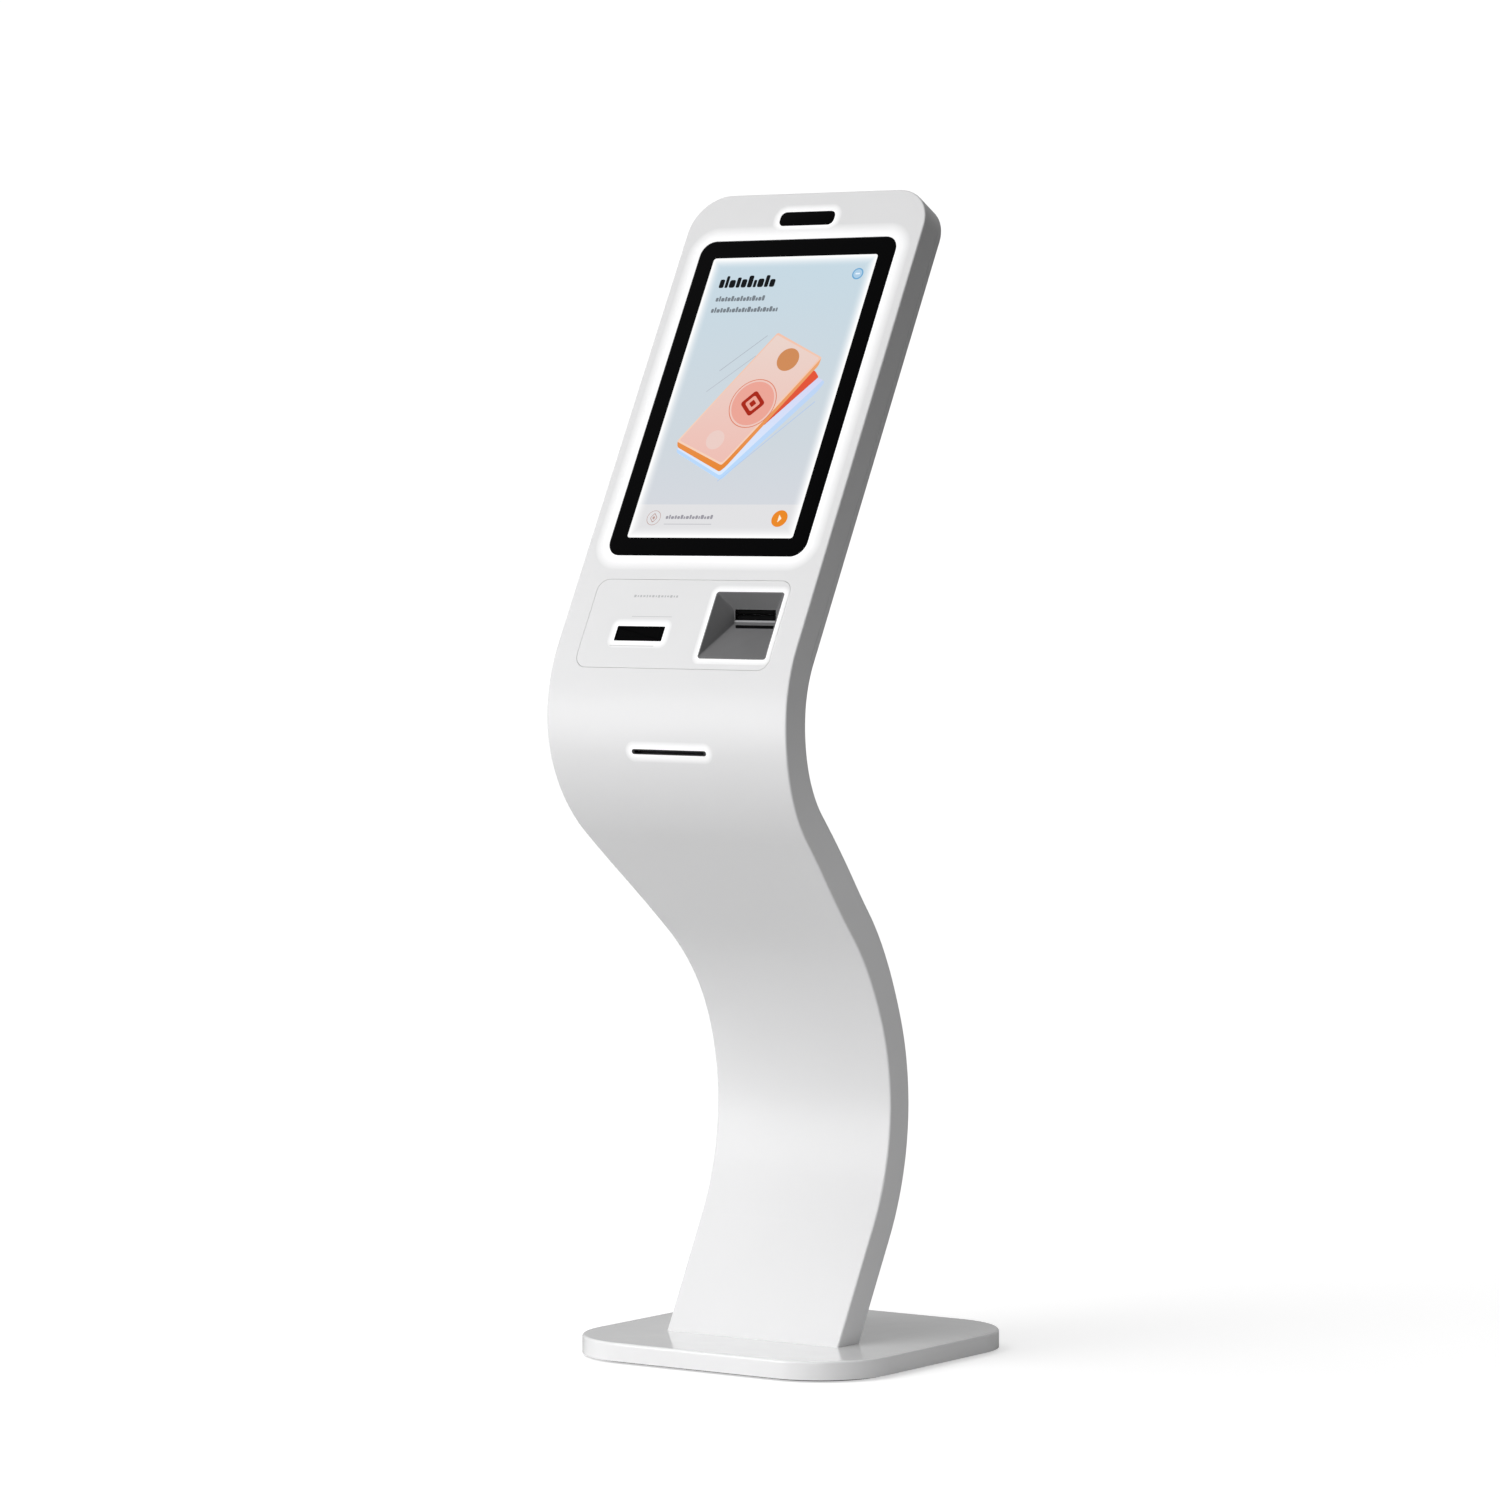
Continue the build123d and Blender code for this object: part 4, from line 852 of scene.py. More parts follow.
# ------------------------------------------------------------------ screen
class KIOSK_OT_screen(bpy.types.Operator):
    """Models the cover glass and the lit picture under it"""

    bl_idname = "kiosk.screen"
    bl_label = "Screen"

    back = -0.0003
    gap = 0.00004
    step = 0.00002
    light_bar = (0.76, 0.76, 0.775)
    line_brown = (0.50, 0.33, 0.30)
    coin_red = (0.84, 0.38, 0.31)
    mark_red = (0.40, 0.018, 0.006)

    def execute(self, context):
        screen = context.scene.kiosk_screen
        self.width = glass_width - 2 * screen.border
        self.height = glass_height - 2 * screen.border - 0.002
        self.layer = 0
        self.glass()
        half = self.height / 2
        sky = graded(
            "screen_background", glass_place, half,
            [(0.0, tuple(screen.foot_colour)), (0.35, (0.62, 0.68, 0.73)), (1.0, tuple(screen.top_colour))],
        )
        backing = self.slab("screen_background", 0, 0, self.width, self.height, 0.004)
        self.put(backing, self.rim_light(sky).material)
        self.bar(screen)
        self.heading()
        self.picture()
        return {"FINISHED"}

    def glass(self):
        """Cover glass with rounded corners and a softened rim."""
        low = -glass_thickness
        glass = add_block(
            "cover_glass_plate", glass_width, glass_height, self.back - low, (0, 0, (self.back + low) / 2)
        )
        round_corners(glass, glass_corner, 12)
        smooth(soften(glass, 0.0005, 3))
        settle(glass, glass_place, "cabinet", cover_glass(), ["touch_glass"])

    def rim_light(self, sky):
        """Whiter light along the picture's edges."""
        across, up, _ = sky.split(sky.vector_math("ABSOLUTE", sky.local(glass_place)))
        reach = 0.018
        side = sky.math("DIVIDE", sky.math("SUBTRACT", across, self.width / 2 - reach), reach)
        end = sky.math("DIVIDE", sky.math("SUBTRACT", up, self.height / 2 - reach), reach)
        edge = sky.math("MAXIMUM", side, end)
        edge = sky.math("POWER", sky.math("MULTIPLY", edge, 1.15, clamp=True), 1.9)
        blend = sky.node("ShaderNodeMix", data_type="RGBA")
        old = sky.shader.inputs["Emission Color"].links[0].from_socket
        sky.link(edge, blend.inputs["Factor"])
        sky.link(old, blend.inputs["A"])
        blend.inputs["B"].default_value = (1, 1, 1, 1)
        sky.link(blend.outputs["Result"], sky.shader.inputs["Emission Color"])
        return sky

    def levels(self):
        """Low and high of the next layer, each a hair above the one before."""
        self.layer += 1
        low = self.back + self.gap
        return low, low + self.layer * self.step

    def slab(self, name, x, y, width, height, corner):
        """Next layer as a rectangle."""
        low, high = self.levels()
        piece = add_block(name, width, height, high - low, (x, y, (low + high) / 2))
        if corner > 0:
            round_corners(piece, corner, 5)
        return piece

    def disc(self, name, x, y, radius):
        """Next layer as a round disc."""
        low, high = self.levels()
        return add_disc(name, radius, high - low, (x, y, (low + high) / 2), 40)

    def put(self, piece, material):
        return settle(piece, glass_place, "cabinet", material)

    def up(self, height):
        """Height above the lit area's foot, as a distance from the glass's middle."""
        return height - self.height / 2

    def words(self, name, left, right, middle, height, colour, gap=0.0016, heavy=0.5):
        """Row of plain rounded blocks that stands for a line of writing."""
        low, high = self.levels()
        blocks = []
        x = left
        count = 0
        while x < right:
            tall = height * (0.72, 1.0, 0.66, 0.86, 0.7, 1.0, 0.62)[count % 7]
            wide = min(height * heavy * (1.0, 0.62, 1.25, 0.8, 1.1)[count % 5], right - x)
            if wide > height * 0.15:
                middle_y = middle - height / 2 + tall / 2
                block = add_block(
                    name, wide, tall, high - low, (x + wide / 2, middle_y, (low + high) / 2)
                )
                blocks.append(round_corners(block, min(wide, tall) * 0.3, 3))
            x += wide + gap
            count += 1
        self.put(join(name, blocks), lit(name, colour).material)

    def show(self, piece, name, colour):
        """Gives a layer one lit colour and puts it on the glass."""
        return self.put(piece, lit(name, colour).material)

    def diamond(self, name, x, y, size, lean, corner, colour):
        """Diamond of one colour, whose width is a share of its height."""
        low, high = self.levels()
        points = [(x, y - size), (x + size * lean, y), (x, y + size), (x - size * lean, y)]
        self.show(outline_piece(name, points, low, high, size * corner), name, colour)

    def bar(self, screen):
        """Pale bar at the foot with its round mark, its words and its button."""
        tone, line = self.light_bar, self.line_brown
        bar = self.slab(
            "screen_bar", 0, self.up(screen.bar_height / 2), self.width, screen.bar_height, 0.004
        )
        finish = graded("screen_bar", glass_place, self.height / 2, [(0.0, tone), (1.0, tone)])
        self.put(bar, self.rim_light(finish).material)
        x, y = -0.101, self.up(0.030)
        for radius, colour in ((0.0112, line), (0.0104, tone)):
            self.show(self.disc("bar_ring", x, y, radius), "bar_ring", colour)
        for size, colour in ((0.0078, line), (0.0060, tone), (0.0030, line)):
            self.diamond("bar_mark", x, y, size, 0.8, 0.25, colour)
        self.words("bar_words", -0.081, -0.003, self.up(0.0315), 0.0062, (0.33, 0.32, 0.36), 0.0012, 0.62)
        rule = self.slab("bar_rule", -0.042, self.up(0.0205), 0.078, 0.0010, 0)
        self.show(rule, "bar_rule", (0.52, 0.52, 0.55))
        x, y = 0.105, self.up(0.0294)
        self.show(self.disc("bar_button", x, y, 0.0125), "bar_button", (0.83, 0.25, 0.018))
        low, high = self.levels()
        points = [(x - 0.002, y + 0.006), (x + 0.0035, y), (x - 0.002, y - 0.006)]
        self.show(outline_piece("bar_arrow", points, low, high, 0.0010), "bar_arrow", (1, 0.86, 0.66))

    def heading(self):
        """Heading, two lines under it and a small round mark at the right."""
        self.words("heading", -0.113, -0.018, self.up(0.3955), 0.0185, (0.004, 0.005, 0.007), 0.0020, 0.42)
        self.words("subline_upper", -0.111, -0.030, self.up(0.3690), 0.0082, (0.19, 0.22, 0.25), 0.0012, 0.5)
        self.words("subline_lower", -0.113, -0.002, self.up(0.3515), 0.0082, (0.19, 0.22, 0.25), 0.0012, 0.5)
        x, y = 0.1115, self.up(0.4034)
        for radius, colour in ((0.0088, (0.16, 0.40, 0.66)), (0.0068, (0.42, 0.62, 0.80))):
            self.show(self.disc("status_ring", x, y, radius), "status_ring", colour)
        self.show(self.slab("status_mark", x, y, 0.0075, 0.0024, 0.0010), "status_mark", (0.80, 0.90, 1.0))

    def point(self, x, y):
        """Point of the picture, given in millimetres right of its middle line and up from its foot."""
        return x / 1000, self.up(y / 1000)

    def sheet(self, name, corners, top, foot, rounding=0.004):
        """Flat sheet whose colour runs from its top to its foot."""
        low, high = self.levels()
        points = [self.point(x, y) for x, y in corners]
        piece = outline_piece(name, points, low, high, rounding)
        lowest, highest = min(y for _, y in points), max(y for _, y in points)
        place = glass_place.copy()
        place.translation += glass_turn @ Vector((0, (highest + lowest) / 2, 0))
        finish = graded(name, place, (highest - lowest) / 2, [(0.0, foot), (1.0, top)])
        self.put(piece, finish.material)

    def streak(self, name, start, end, colour):
        """Thin line between two points."""
        low, high = self.levels()
        (x, y), (far_x, far_y) = self.point(*start), self.point(*end)
        points = [(x, y), (far_x, far_y), (far_x + 0.0005, far_y - 0.0006), (x + 0.0005, y - 0.0006)]
        self.show(outline_piece(name, points, low, high), name, colour)

    def picture(self):
        """Banknotes fanned over each other, drawn as flat layers, with a plain mark on a coin."""
        self.streak("motion_line", (-68, 256), (-6, 310), (0.42, 0.46, 0.52))
        self.streak("motion_line", (-79, 224), (-15, 279), (0.47, 0.51, 0.57))
        self.sheet(
            "shadow_sheet", [(112, 238), (104, 222), (-10, 87), (-99, 131), (-95, 141), (20, 250)],
            (0.52, 0.66, 0.90), (0.48, 0.70, 0.98), 0.005,
        )
        self.sheet(
            "pale_note", [(108, 240), (-13, 94), (-99, 136), (20, 262)],
            (0.64, 0.66, 0.90), (0.72, 0.84, 1.0),
        )
        self.streak("edge_line", (-15, 86), (105, 207), (0.44, 0.58, 0.84))
        self.sheet(
            "red_note", [(99, 244), (90, 254), (30, 262), (33, 170)],
            (0.80, 0.09, 0.035), (0.70, 0.09, 0.045), 0.003,
        )
        self.sheet(
            "note_edge",
            [(94, 273), (93, 262), (34, 172), (-8, 108), (-16, 100), (-98, 138), (-101, 147), (10, 312)],
            (0.86, 0.42, 0.20), (0.80, 0.24, 0.03), 0.003,
        )
        self.sheet(
            "note_rim", [(95, 274), (33, 181), (-9, 119), (-16, 110), (-102, 147), (10, 314)],
            (0.90, 0.55, 0.42), (0.92, 0.66, 0.52), 0.003,
        )
        self.sheet(
            "note_top", [(91, 273), (30, 182), (-10, 122), (-17, 113.5), (-98, 148.5), (10, 310.5)],
            (0.83, 0.66, 0.60), (0.86, 0.52, 0.46), 0.003,
        )
        x, y = 0.0044, self.up(0.2045)
        rings = ((0.0375, (0.72, 0.22, 0.13)), (0.0362, (0.86, 0.58, 0.52)), (0.0335, self.coin_red))
        for radius, colour in rings:
            self.show(self.disc("coin", x, y, radius), "coin", colour)
        for size, colour in ((0.0205, self.mark_red), (0.0125, self.coin_red), (0.0060, self.mark_red)):
            self.diamond("coin_mark", x, y, size, 1, 0.22, colour)
        seal = self.disc("note_seal", 0.0403, self.up(0.2716), 0.0175)
        self.show(seal, "note_seal", (0.63, 0.26, 0.10))
        mark = self.disc("note_mark", -0.0390, self.up(0.1490), 0.0145)
        self.show(mark, "note_mark", (0.84, 0.62, 0.57))


# ------------------------------------------------------------------ camera, reader and pocket details
class KIOSK_OT_windows(bpy.types.Operator):
    """Models the camera window and the reader window"""

    bl_idname = "kiosk.windows"
    bl_label = "Camera and reader"

    def execute(self, context):
        edge = context.scene.kiosk_detail.edge
        glass = cover_glass()
        pill = add_block(
            "camera_glass", camera_width, camera_height, camera_thickness, (0, 0, -camera_thickness / 2)
        )
        round_corners(pill, camera_corner, 10)
        smooth(soften(pill, edge, 3))
        settle(pill, camera_place, "cabinet", glass, ["camera_window"])
        reader = add_block(
            "reader_glass", reader_width, reader_height, reader_thickness, (0, 0, -reader_thickness / 2)
        )
        round_corners(reader, reader_corner, 5)
        sink(reader, outwards, 0.0022, (0, 0, -0.0008))
        smooth(soften(reader, edge * 0.4, 2))
        settle(reader, reader_place, "cabinet", glass, ["reader_window"])
        return {"FINISHED"}


class KIOSK_OT_pocket(bpy.types.Operator):
    """Models the note slot's shutter, its light ledge and the printed marks beside the reader"""

    bl_idname = "kiosk.pocket"
    bl_label = "Cash pocket"

    wall_gap = 0.0018
    floor_drop = 0.0202
    print_depth = 0.00006
    dashes = 15
    dash_gap = 0.0021

    def execute(self, context):
        low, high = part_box("note_shutter")
        middle = (low + high) / 2
        size = high - low
        place = Matrix.Translation(middle)
        shutter = add_block("shutter_blade", size.x, size.y, size.z)
        sink(shutter, lambda centre, normal: normal.y < -0.9, 0.0022, (0, 0.0003, 0))
        smooth(soften(shutter, 0.0001, 2))
        # the shutter's own black, which the trough under the pocket's floor reuses as painted shade
        black = Finish("shutter_black_and_trough_shade", (0.002, 0.002, 0.0022), 0.6, Specular_IOR_Level=0.05)
        black.roughness_from(black.noise(80, 2.0), 0.5, 0.75)
        settle(shutter, place, "note_shutter", black.material, ["note_shutter"])

        self.ledge(low, middle, size)
        self.marks()
        return {"FINISHED"}

    def ledge(self, low, middle, size):
        """Light strip under the slot, and a near-black trough under the gap in the pocket's floor: a dark piece
        that paints the shade seen down the gap.
        """
        wall = low.y - self.wall_gap
        floor = low.z - self.floor_drop
        strip = add_block("slot_ledge", size.x - 0.006, 0.0008, 0.0024)
        strip = smooth(soften(strip, 0.0003, 3))
        light = moulded("ledge_grey", (0.40, 0.40, 0.41), 0.4)
        place = Matrix.Translation((middle.x, wall - 0.0005, floor + 0.0030))
        settle(strip, place, "cabinet", light)
        # painted shade: a near-black box under the gap stands in for the shade inside the pocket's floor
        shade_trough = add_block("drain_shade_trough", size.x - 0.009, 0.0070, 0.0040)
        sink(shade_trough, outwards, 0.0008, (0, 0, -0.0030))
        shade_trough = smooth(soften(shade_trough, 0.0002, 2))
        place = Matrix.Translation((middle.x + 0.004, wall - 0.0047, floor - 0.0039))
        settle(shade_trough, place, "cabinet", "shutter_black_and_trough_shade")

    def marks(self):
        """Faint printed dashes above the reader and two hairlines beside it."""
        low, high = face_box("reader_window")
        thickness = self.print_depth
        bars = []
        x = low.x + 0.0115
        for index in range(self.dashes):
            wide = (0.0036, 0.0020, 0.0029)[index % 3]
            tall = (0.0036, 0.0026, 0.0031, 0.0024)[index % 4]
            at = (x + wide / 2, high.y + 0.0450, thickness / 2)
            bars.append(add_block("mark", wide, tall, thickness, at))
            x += wide + self.dash_gap
        lines = (
            (low.x + 0.018, high.x + 0.006, high.y + 0.0145),
            (low.x - 0.004, high.x - 0.010, low.y - 0.0075),
        )
        for start, end, height in lines:
            at = ((start + end) / 2, height, thickness / 2)
            bars.append(add_block("mark", end - start, 0.0006, thickness, at))
        marks = join("faceplate_marks", bars)
        grey = Finish("printed_grey", (0.50, 0.50, 0.51), 0.5)
        grey.roughness_from(grey.noise(90, 2.0), 0.42, 0.6)
        settle(marks, glass_place, "cabinet", grey.material)


# ------------------------------------------------------------------ electronics behind the rear door
def perforate(piece, margin, cuts, web, depth):
    """Sinks a grid of square holes into the flat face that looks backwards."""
    pick_faces(piece, backwards)
    bpy.ops.mesh.inset(thickness=margin, depth=0)
    bpy.ops.mesh.subdivide(number_cuts=cuts)
    bpy.ops.mesh.inset(thickness=web, depth=0, use_individual=True)
    bpy.ops.mesh.extrude_region_move(TRANSFORM_OT_translate={"value": (0, 0, depth)})
    leave()
    return piece


class KIOSK_OT_board(bpy.types.Operator):
    """Models the main board with its chips, capacitors, sockets and memory"""

    bl_idname = "kiosk.board"
    bl_label = "Main board"

    post_length = 0.005
    thickness = 0.0016
    post_inset = 0.008
    chip_rows = 9
    chip_columns = 7
    chip_pitch = 0.0172
    can_pitch = 0.0086

    def execute(self, context):
        self.low, self.high = face_box("main_board")
        tray, _ = face_box("electronics_tray")
        self.middle = (self.low + self.high) / 2
        self.size = self.high - self.low
        self.front = tray.z - self.post_length
        self.back = self.front - self.thickness
        self.plate(tray.z)
        self.chips(context.scene.kiosk_detail.board_chips)
        self.capacitors()
        self.sockets()
        self.memory()
        return {"FINISHED"}

    def corners(self):
        """Places of the four posts."""
        reach_x, reach_y = self.size.x / 2 - self.post_inset, self.size.y / 2 - self.post_inset
        for x in (-reach_x, reach_x):
            for y in (-reach_y, reach_y):
                yield self.middle.x + x, self.middle.y + y, 0

    def plate(self, tray_back):
        """Bare board on four hexagonal posts with screws."""
        at = (self.middle.x, self.middle.y, (self.front + self.back) / 2)
        plate = add_block("board_plate", self.size.x, self.size.y, self.thickness, at)
        plate = soften(round_corners(plate, 0.003, 4), 0.0002, 1)
        fit("board_plate", [plate], "circuit_green", ["main_board"])
        at = (0, 0, (tray_back + self.front) / 2)
        post = add_disc("board_posts", 0.003, self.post_length, at, 6)
        head = add_disc("board_posts", 0.0028, 0.0020, (0, 0, self.back - 0.0010), 24)
        sink(head, backwards, 0.0014, (0, 0, 0.0012))
        post = join("board_posts", [post, soften(head, 0.0003, 2)])
        fit("board_posts", series(post, self.corners()), "zinc_plate")

    def chips(self, most):
        """Flat chips in staggered rows round the heat sink, each with two rows of legs."""
        sink_low, sink_high = face_box("heat_sink")
        body = add_block("board_chips", 0.0105, 0.0075, 0.0016, (0, 0, self.back - 0.0010))
        body = soften(body, 0.0002, 2)
        dot = add_disc("board_chips", 0.0006, 0.0002, (-0.0038, 0.0024, self.back - 0.0019), 12)
        body = join("board_chips", [body, dot])
        leg = add_block("chip_leg", 0.0006, 0.0016, 0.0008, (-0.0042, 0.0043, self.back - 0.0004))
        row = join("chip_legs", series(leg, [(index * 0.0012, 0, 0) for index in range(8)]))
        both = join("chip_legs", [row, copy_at(row, (0, -0.0086, 0))])
        places = []
        for index in range(self.chip_rows):
            y = self.low.y + 0.032 + index * (self.size.y - 0.048) / (self.chip_rows - 1)
            for step in range(self.chip_columns):
                x = self.low.x + 0.016 + (step + 0.4 * (index % 2)) * self.chip_pitch
                near = (
                    sink_low.x - 0.009 < x < sink_high.x + 0.009
                    and sink_low.y - 0.008 < y < sink_high.y + 0.008
                )
                if not near and x < self.high.x - 0.046 and len(places) < most:
                    places.append((x, y, 0))
        fit("board_chips", [copy_at(body, place) for place in places], "black_plastic")
        fit("chip_legs", [copy_at(both, place) for place in places], "polished")
        for pattern in (body, both):
            bpy.data.objects.remove(pattern)

    def capacitors(self):
        """Tall round capacitors with a sunk top, in a row along the board's head and one up its side."""
        can = add_disc("capacitors", 0.0032, 0.0078, (0, 0, self.back - 0.0039), 28)
        sink(can, backwards, 0.0006, (0, 0, 0.0002))
        can = soften(can, 0.0004, 2)
        left, top = self.middle.x - 0.044, self.high.y - 0.010
        side, foot = self.high.x - 0.042, self.low.y + 0.034
        spots = [(left + index * self.can_pitch, top, 0) for index in range(6)]
        spots += [(side, foot + index * self.can_pitch, 0) for index in range(4)]
        fit("capacitors", series(can, spots), "mill_aluminium")

    def sockets(self):
        """Cable sockets along the board's foot, with a sunk mouth and contact pins."""
        x, y = self.middle.x, self.low.y + 0.008
        shell = add_block("sockets", 0.028, 0.012, 0.010, (x, y, self.back - 0.005))
        sink(shell, backwards, 0.0012, (0, 0, 0.0075))
        shell = soften(shell, 0.0003, 2)
        at = (x - 0.0105, y + 0.0022, self.back - 0.0055)
        pin = add_block("socket_pins", 0.0007, 0.0007, 0.0060, at)
        row = join("socket_pins", series(pin, [(index * 0.0030, 0, 0) for index in range(8)]))
        both = join("socket_pins", [row, copy_at(row, (0, -0.0044, 0))])
        spots = [(share * self.size.x, 0, 0) for share in (-0.3, 0.0, 0.3)]
        fit("sockets", series(shell, spots), "black_plastic")
        fit("socket_pins", series(both, spots), "polished")

    def memory(self):
        """Two memory cards that stand in their sockets."""
        tall = self.size.y * 0.6
        y = self.middle.y + 0.1 * self.size.y
        holder = add_block("memory_holders", 0.005, tall, 0.005, (0, y, self.back - 0.0025))
        holder = soften(holder, 0.0004, 2)
        card = add_block("memory_cards", 0.0012, tall - 0.008, 0.0068, (0, y, self.back - 0.0084))
        at = (0.00105, y - tall / 2 + 0.012, self.back - 0.0088)
        chip = add_block("memory_chips", 0.0009, 0.0085, 0.0044, at)
        row = join("memory_chips", series(chip, [(0, index * 0.0112, 0) for index in range(8)]))
        spots = [(self.middle.x + share * self.size.x, 0, 0) for share in (0.32, 0.38)]
        fit("memory_holders", series(holder, spots), "black_plastic")
        fit("memory_cards", series(card, spots), "circuit_green")
        fit("memory_chips", series(row, spots), "black_plastic")


class KIOSK_OT_fan(bpy.types.Operator):
    """Models the fan's rotor with twisted blades"""

    bl_idname = "kiosk.fan"
    bl_label = "Fan"

    hub_radius = 0.010
    blade_middle = 0.0158
    root_turn = 46
    tip_turn = 26

    def turn(self, angle, axis, centre):
        """Turns what is selected about an axis through a point."""
        bpy.ops.transform.rotate(
            value=angle, orient_axis=axis, orient_type="GLOBAL", center_override=centre
        )

    def execute(self, context):
        count = context.scene.kiosk_detail.fan_blades
        low, high = face_box("fan_rotor")
        frame_low, frame_high = face_box("fan_frame")
        middle = (frame_low + frame_high) / 2
        depth = high.z - low.z
        hub = add_disc("rotor", self.hub_radius, depth, sides=56)
        sink(hub, outwards, 0.0083, (0, 0, -(depth - 0.0009)))
        sink(hub, backwards, 0.0014, (0, 0, 0.0003))
        hub = soften(hub, 0.0004, 3)
        centre = (self.blade_middle, 0, 0)
        blade = add_block("rotor", 0.0128, 0.0082, 0.0009, centre)
        for side, angle in ((-1, self.root_turn), (1, self.tip_turn)):
            pick_faces(blade, lambda centre, normal: normal.x * side > 0.9)
            self.turn(math.radians(angle), "X", centre)
            leave()
        blade = soften(blade, 0.0003, 2)
        parts = [hub, blade]
        for index in range(1, count):
            wing = copy_at(blade, (0, 0, 0))
            self.turn(index * 2 * math.pi / count, "Z", (0, 0, 0))
            bake_place()
            parts.append(wing)
        rotor = smooth(join("rotor", parts))
        place = glass_place @ Matrix.Translation((middle.x, middle.y, (low.z + high.z) / 2))
        settle(rotor, place, "fan_rotor", "black_plastic", ["fan_rotor"])
        return {"FINISHED"}


class KIOSK_OT_supply(bpy.types.Operator):
    """Models the power supply, its terminals and the wires to the main board"""

    bl_idname = "kiosk.supply"
    bl_label = "Power supply"

    terminal_count = 7
    terminal_pitch = 0.0097
    wire_radius = 0.0016
    wire_colours = ((0.30, 0.012, 0.010), (0.02, 0.02, 0.021), (0.34, 0.22, 0.012))

    def execute(self, context):
        low, high = face_box("power_supply")
        middle, size = (low + high) / 2, high - low
        shell = add_block("supply_case", size.x, size.y, size.z, middle)
        shell = perforate(soften(shell, 0.0008, 2), 0.012, 12, 0.0016, 0.0012)
        fit("supply_case", [shell], "zinc_plate", ["power_supply"])
        self.terminals(low, high)
        self.wires(low, high)
        return {"FINISHED"}

    def terminals(self, low, high):
        """Row of screw terminals along the case's upper end."""
        base = high.y + 0.0045
        back = low.z + 0.006
        block = add_block("terminal_block", 0.0090, 0.009, 0.012, (0, base, back + 0.006))
        block = soften(block, 0.0003, 2)
        screw = add_disc("terminal_screws", 0.0026, 0.0012, (0, base, back - 0.0006), 24)
        sink(screw, backwards, 0.0012, (0, 0, 0.0007))
        screw = soften(screw, 0.0002, 2)
        left = low.x + 0.018
        spots = [(left + index * self.terminal_pitch, 0, 0) for index in range(self.terminal_count)]
        fit("terminal_block", series(block, spots), "black_plastic")
        fit("terminal_screws", series(screw, spots), "polished")

    def wires(self, low, high):
        """Wires from the terminals to the three sockets of the main board."""
        board_low, board_high = face_box("main_board")
        middle_x = (board_low.x + board_high.x) / 2
        width = board_high.x - board_low.x
        depth = low.z + 0.011
        for index, tone in enumerate(self.wire_colours):
            left = low.x + 0.0277 + index * 2 * self.terminal_pitch
            start = Vector((left, high.y + 0.0090, depth))
            end = Vector((middle_x + (index - 1) * 0.3 * width, board_low.y + 0.0015, depth + 0.003))
            deselect()
            bpy.ops.curve.primitive_bezier_curve_add()
            curve = bpy.context.object
            curve.data.bevel_depth = self.wire_radius
            curve.data.bevel_resolution = 5
            curve.data.resolution_u = 24
            curve.data.use_fill_caps = True
            reach = Vector((0, (end.y - start.y) * 0.45, 0))
            for point, place in zip(curve.data.splines[0].bezier_points, (start, end)):
                point.co = place
                point.handle_left_type = point.handle_right_type = "FREE"
                point.handle_left = place - reach
                point.handle_right = place + reach
            bpy.ops.object.convert(target="MESH")
            wire = named(f"wire_{index}")
            edit(wire, "VERT")
            bpy.ops.mesh.select_all(action="SELECT")
            bpy.ops.mesh.remove_doubles(threshold=0.000002)
            bpy.ops.mesh.normals_make_consistent(inside=False)
            leave()
            smooth(wire, 60)
            jacket = moulded(f"wire_jacket_{index}", tone, 0.42, 500, 0.08)
            settle(wire, glass_place, "cabinet", jacket)


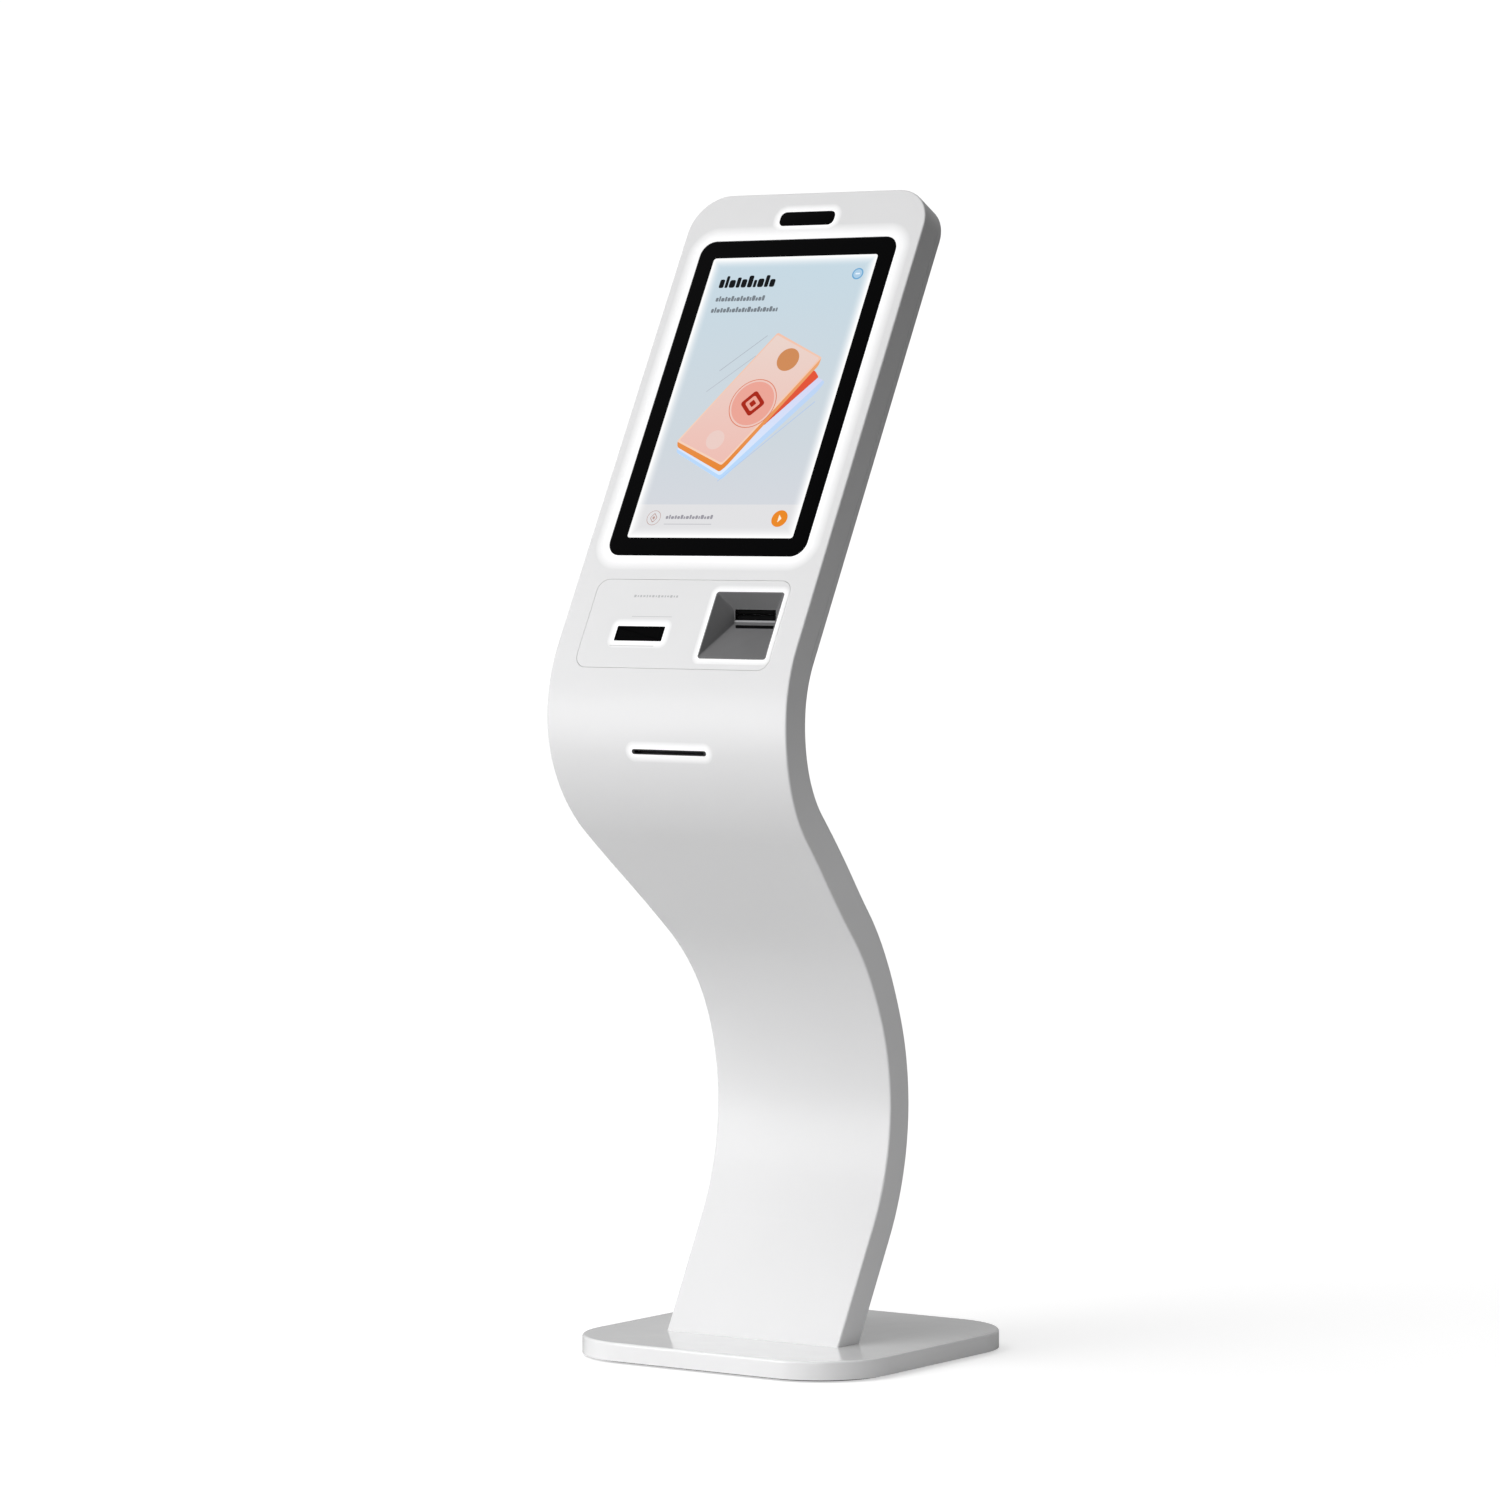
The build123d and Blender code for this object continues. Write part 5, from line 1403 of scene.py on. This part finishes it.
class KIOSK_OT_cassette(bpy.types.Operator):
    """Models the note cassette with its ribs, grip and latches"""

    bl_idname = "kiosk.cassette"
    bl_label = "Note cassette"

    recess = 0.0022
    rib_count = 8
    rib_pitch = 0.010

    def execute(self, context):
        low, high = face_box("note_cassette")
        middle, size = (low + high) / 2, high - low

        def foot_face(centre, normal):
            return normal.y < -0.999 and centre.y < low.y + 0.001

        case = add_block("cassette_case", size.x, size.y, size.z, middle)
        round_corners(case, 0.004, 5)
        sink(case, backwards, 0.005, (0, 0, self.recess))
        sink(case, foot_face, 0.006, (0, 0.004, 0))
        case = soften(case, 0.0007, 2)
        body = moulded("cassette_plastic", (0.05, 0.055, 0.065), 0.48, 700, 0.16)
        fit("cassette_case", [case], body, ["note_cassette"])

        floor = low.z + self.recess
        rib = add_block("cassette_ribs", size.x - 0.026, 0.0022, 0.0016, (middle.x, 0, floor - 0.0008))
        rib = soften(rib, 0.0005, 2)
        foot = low.y + 0.018
        spots = [(0, foot + index * self.rib_pitch, 0) for index in range(self.rib_count)]
        fit("cassette_ribs", series(rib, spots), body)

        at = (middle.x, high.y - 0.034, floor - 0.0010)
        grip = add_block("cassette_grip", 0.060, 0.016, 0.0020, at)
        round_corners(grip, 0.006, 6)
        sink(grip, backwards, 0.003, (0, 0, 0.0014))
        orange = moulded("latch_orange", (0.62, 0.16, 0.012), 0.4)
        fit("cassette_grip", [soften(grip, 0.0004, 2)], orange)

        knob = add_disc("cassette_latches", 0.0055, 0.0020, (0, high.y - 0.062, floor - 0.0010), 36)
        sink(knob, backwards, 0.0022, (0, 0, 0.0010))
        knob = soften(knob, 0.0003, 2)
        reach = size.x / 2 - 0.018
        spots = [(middle.x + side * reach, 0, 0) for side in (-1, 1)]
        fit("cassette_latches", series(knob, spots), "zinc_plate")
        return {"FINISHED"}


# ------------------------------------------------------------------ panel and registration
operators = (
    KIOSK_OT_stage,
    KIOSK_OT_finishes,
    KIOSK_OT_screen,
    KIOSK_OT_windows,
    KIOSK_OT_pocket,
    KIOSK_OT_board,
    KIOSK_OT_fan,
    KIOSK_OT_supply,
    KIOSK_OT_cassette,
)


class KIOSK_PT_panel(bpy.types.Panel):
    """Lists the steps that build the kiosk's looks"""

    bl_idname = "KIOSK_PT_panel"
    bl_label = "Cash kiosk"
    bl_space_type = "VIEW_3D"
    bl_region_type = "UI"
    bl_category = "Kiosk"

    def draw(self, context):
        for operator in operators:
            self.layout.operator(operator.bl_idname)


classes = (KioskFinish, KioskScreen, KioskDetail, *operators, KIOSK_PT_panel)


def register():
    for item in classes:
        bpy.utils.register_class(item)
    bpy.types.Scene.kiosk_finish = PointerProperty(type=KioskFinish)
    bpy.types.Scene.kiosk_screen = PointerProperty(type=KioskScreen)
    bpy.types.Scene.kiosk_detail = PointerProperty(type=KioskDetail)


def unregister():
    del bpy.types.Scene.kiosk_detail
    del bpy.types.Scene.kiosk_screen
    del bpy.types.Scene.kiosk_finish
    for item in reversed(classes):
        bpy.utils.unregister_class(item)


def main():
    register()
    for operator in operators:
        group, name = operator.bl_idname.split(".")
        result = getattr(getattr(bpy.ops, group), name)()
        if "FINISHED" not in result:
            raise RuntimeError(f"{operator.bl_label} didn't finish")


if __name__ == "__main__":
    main()
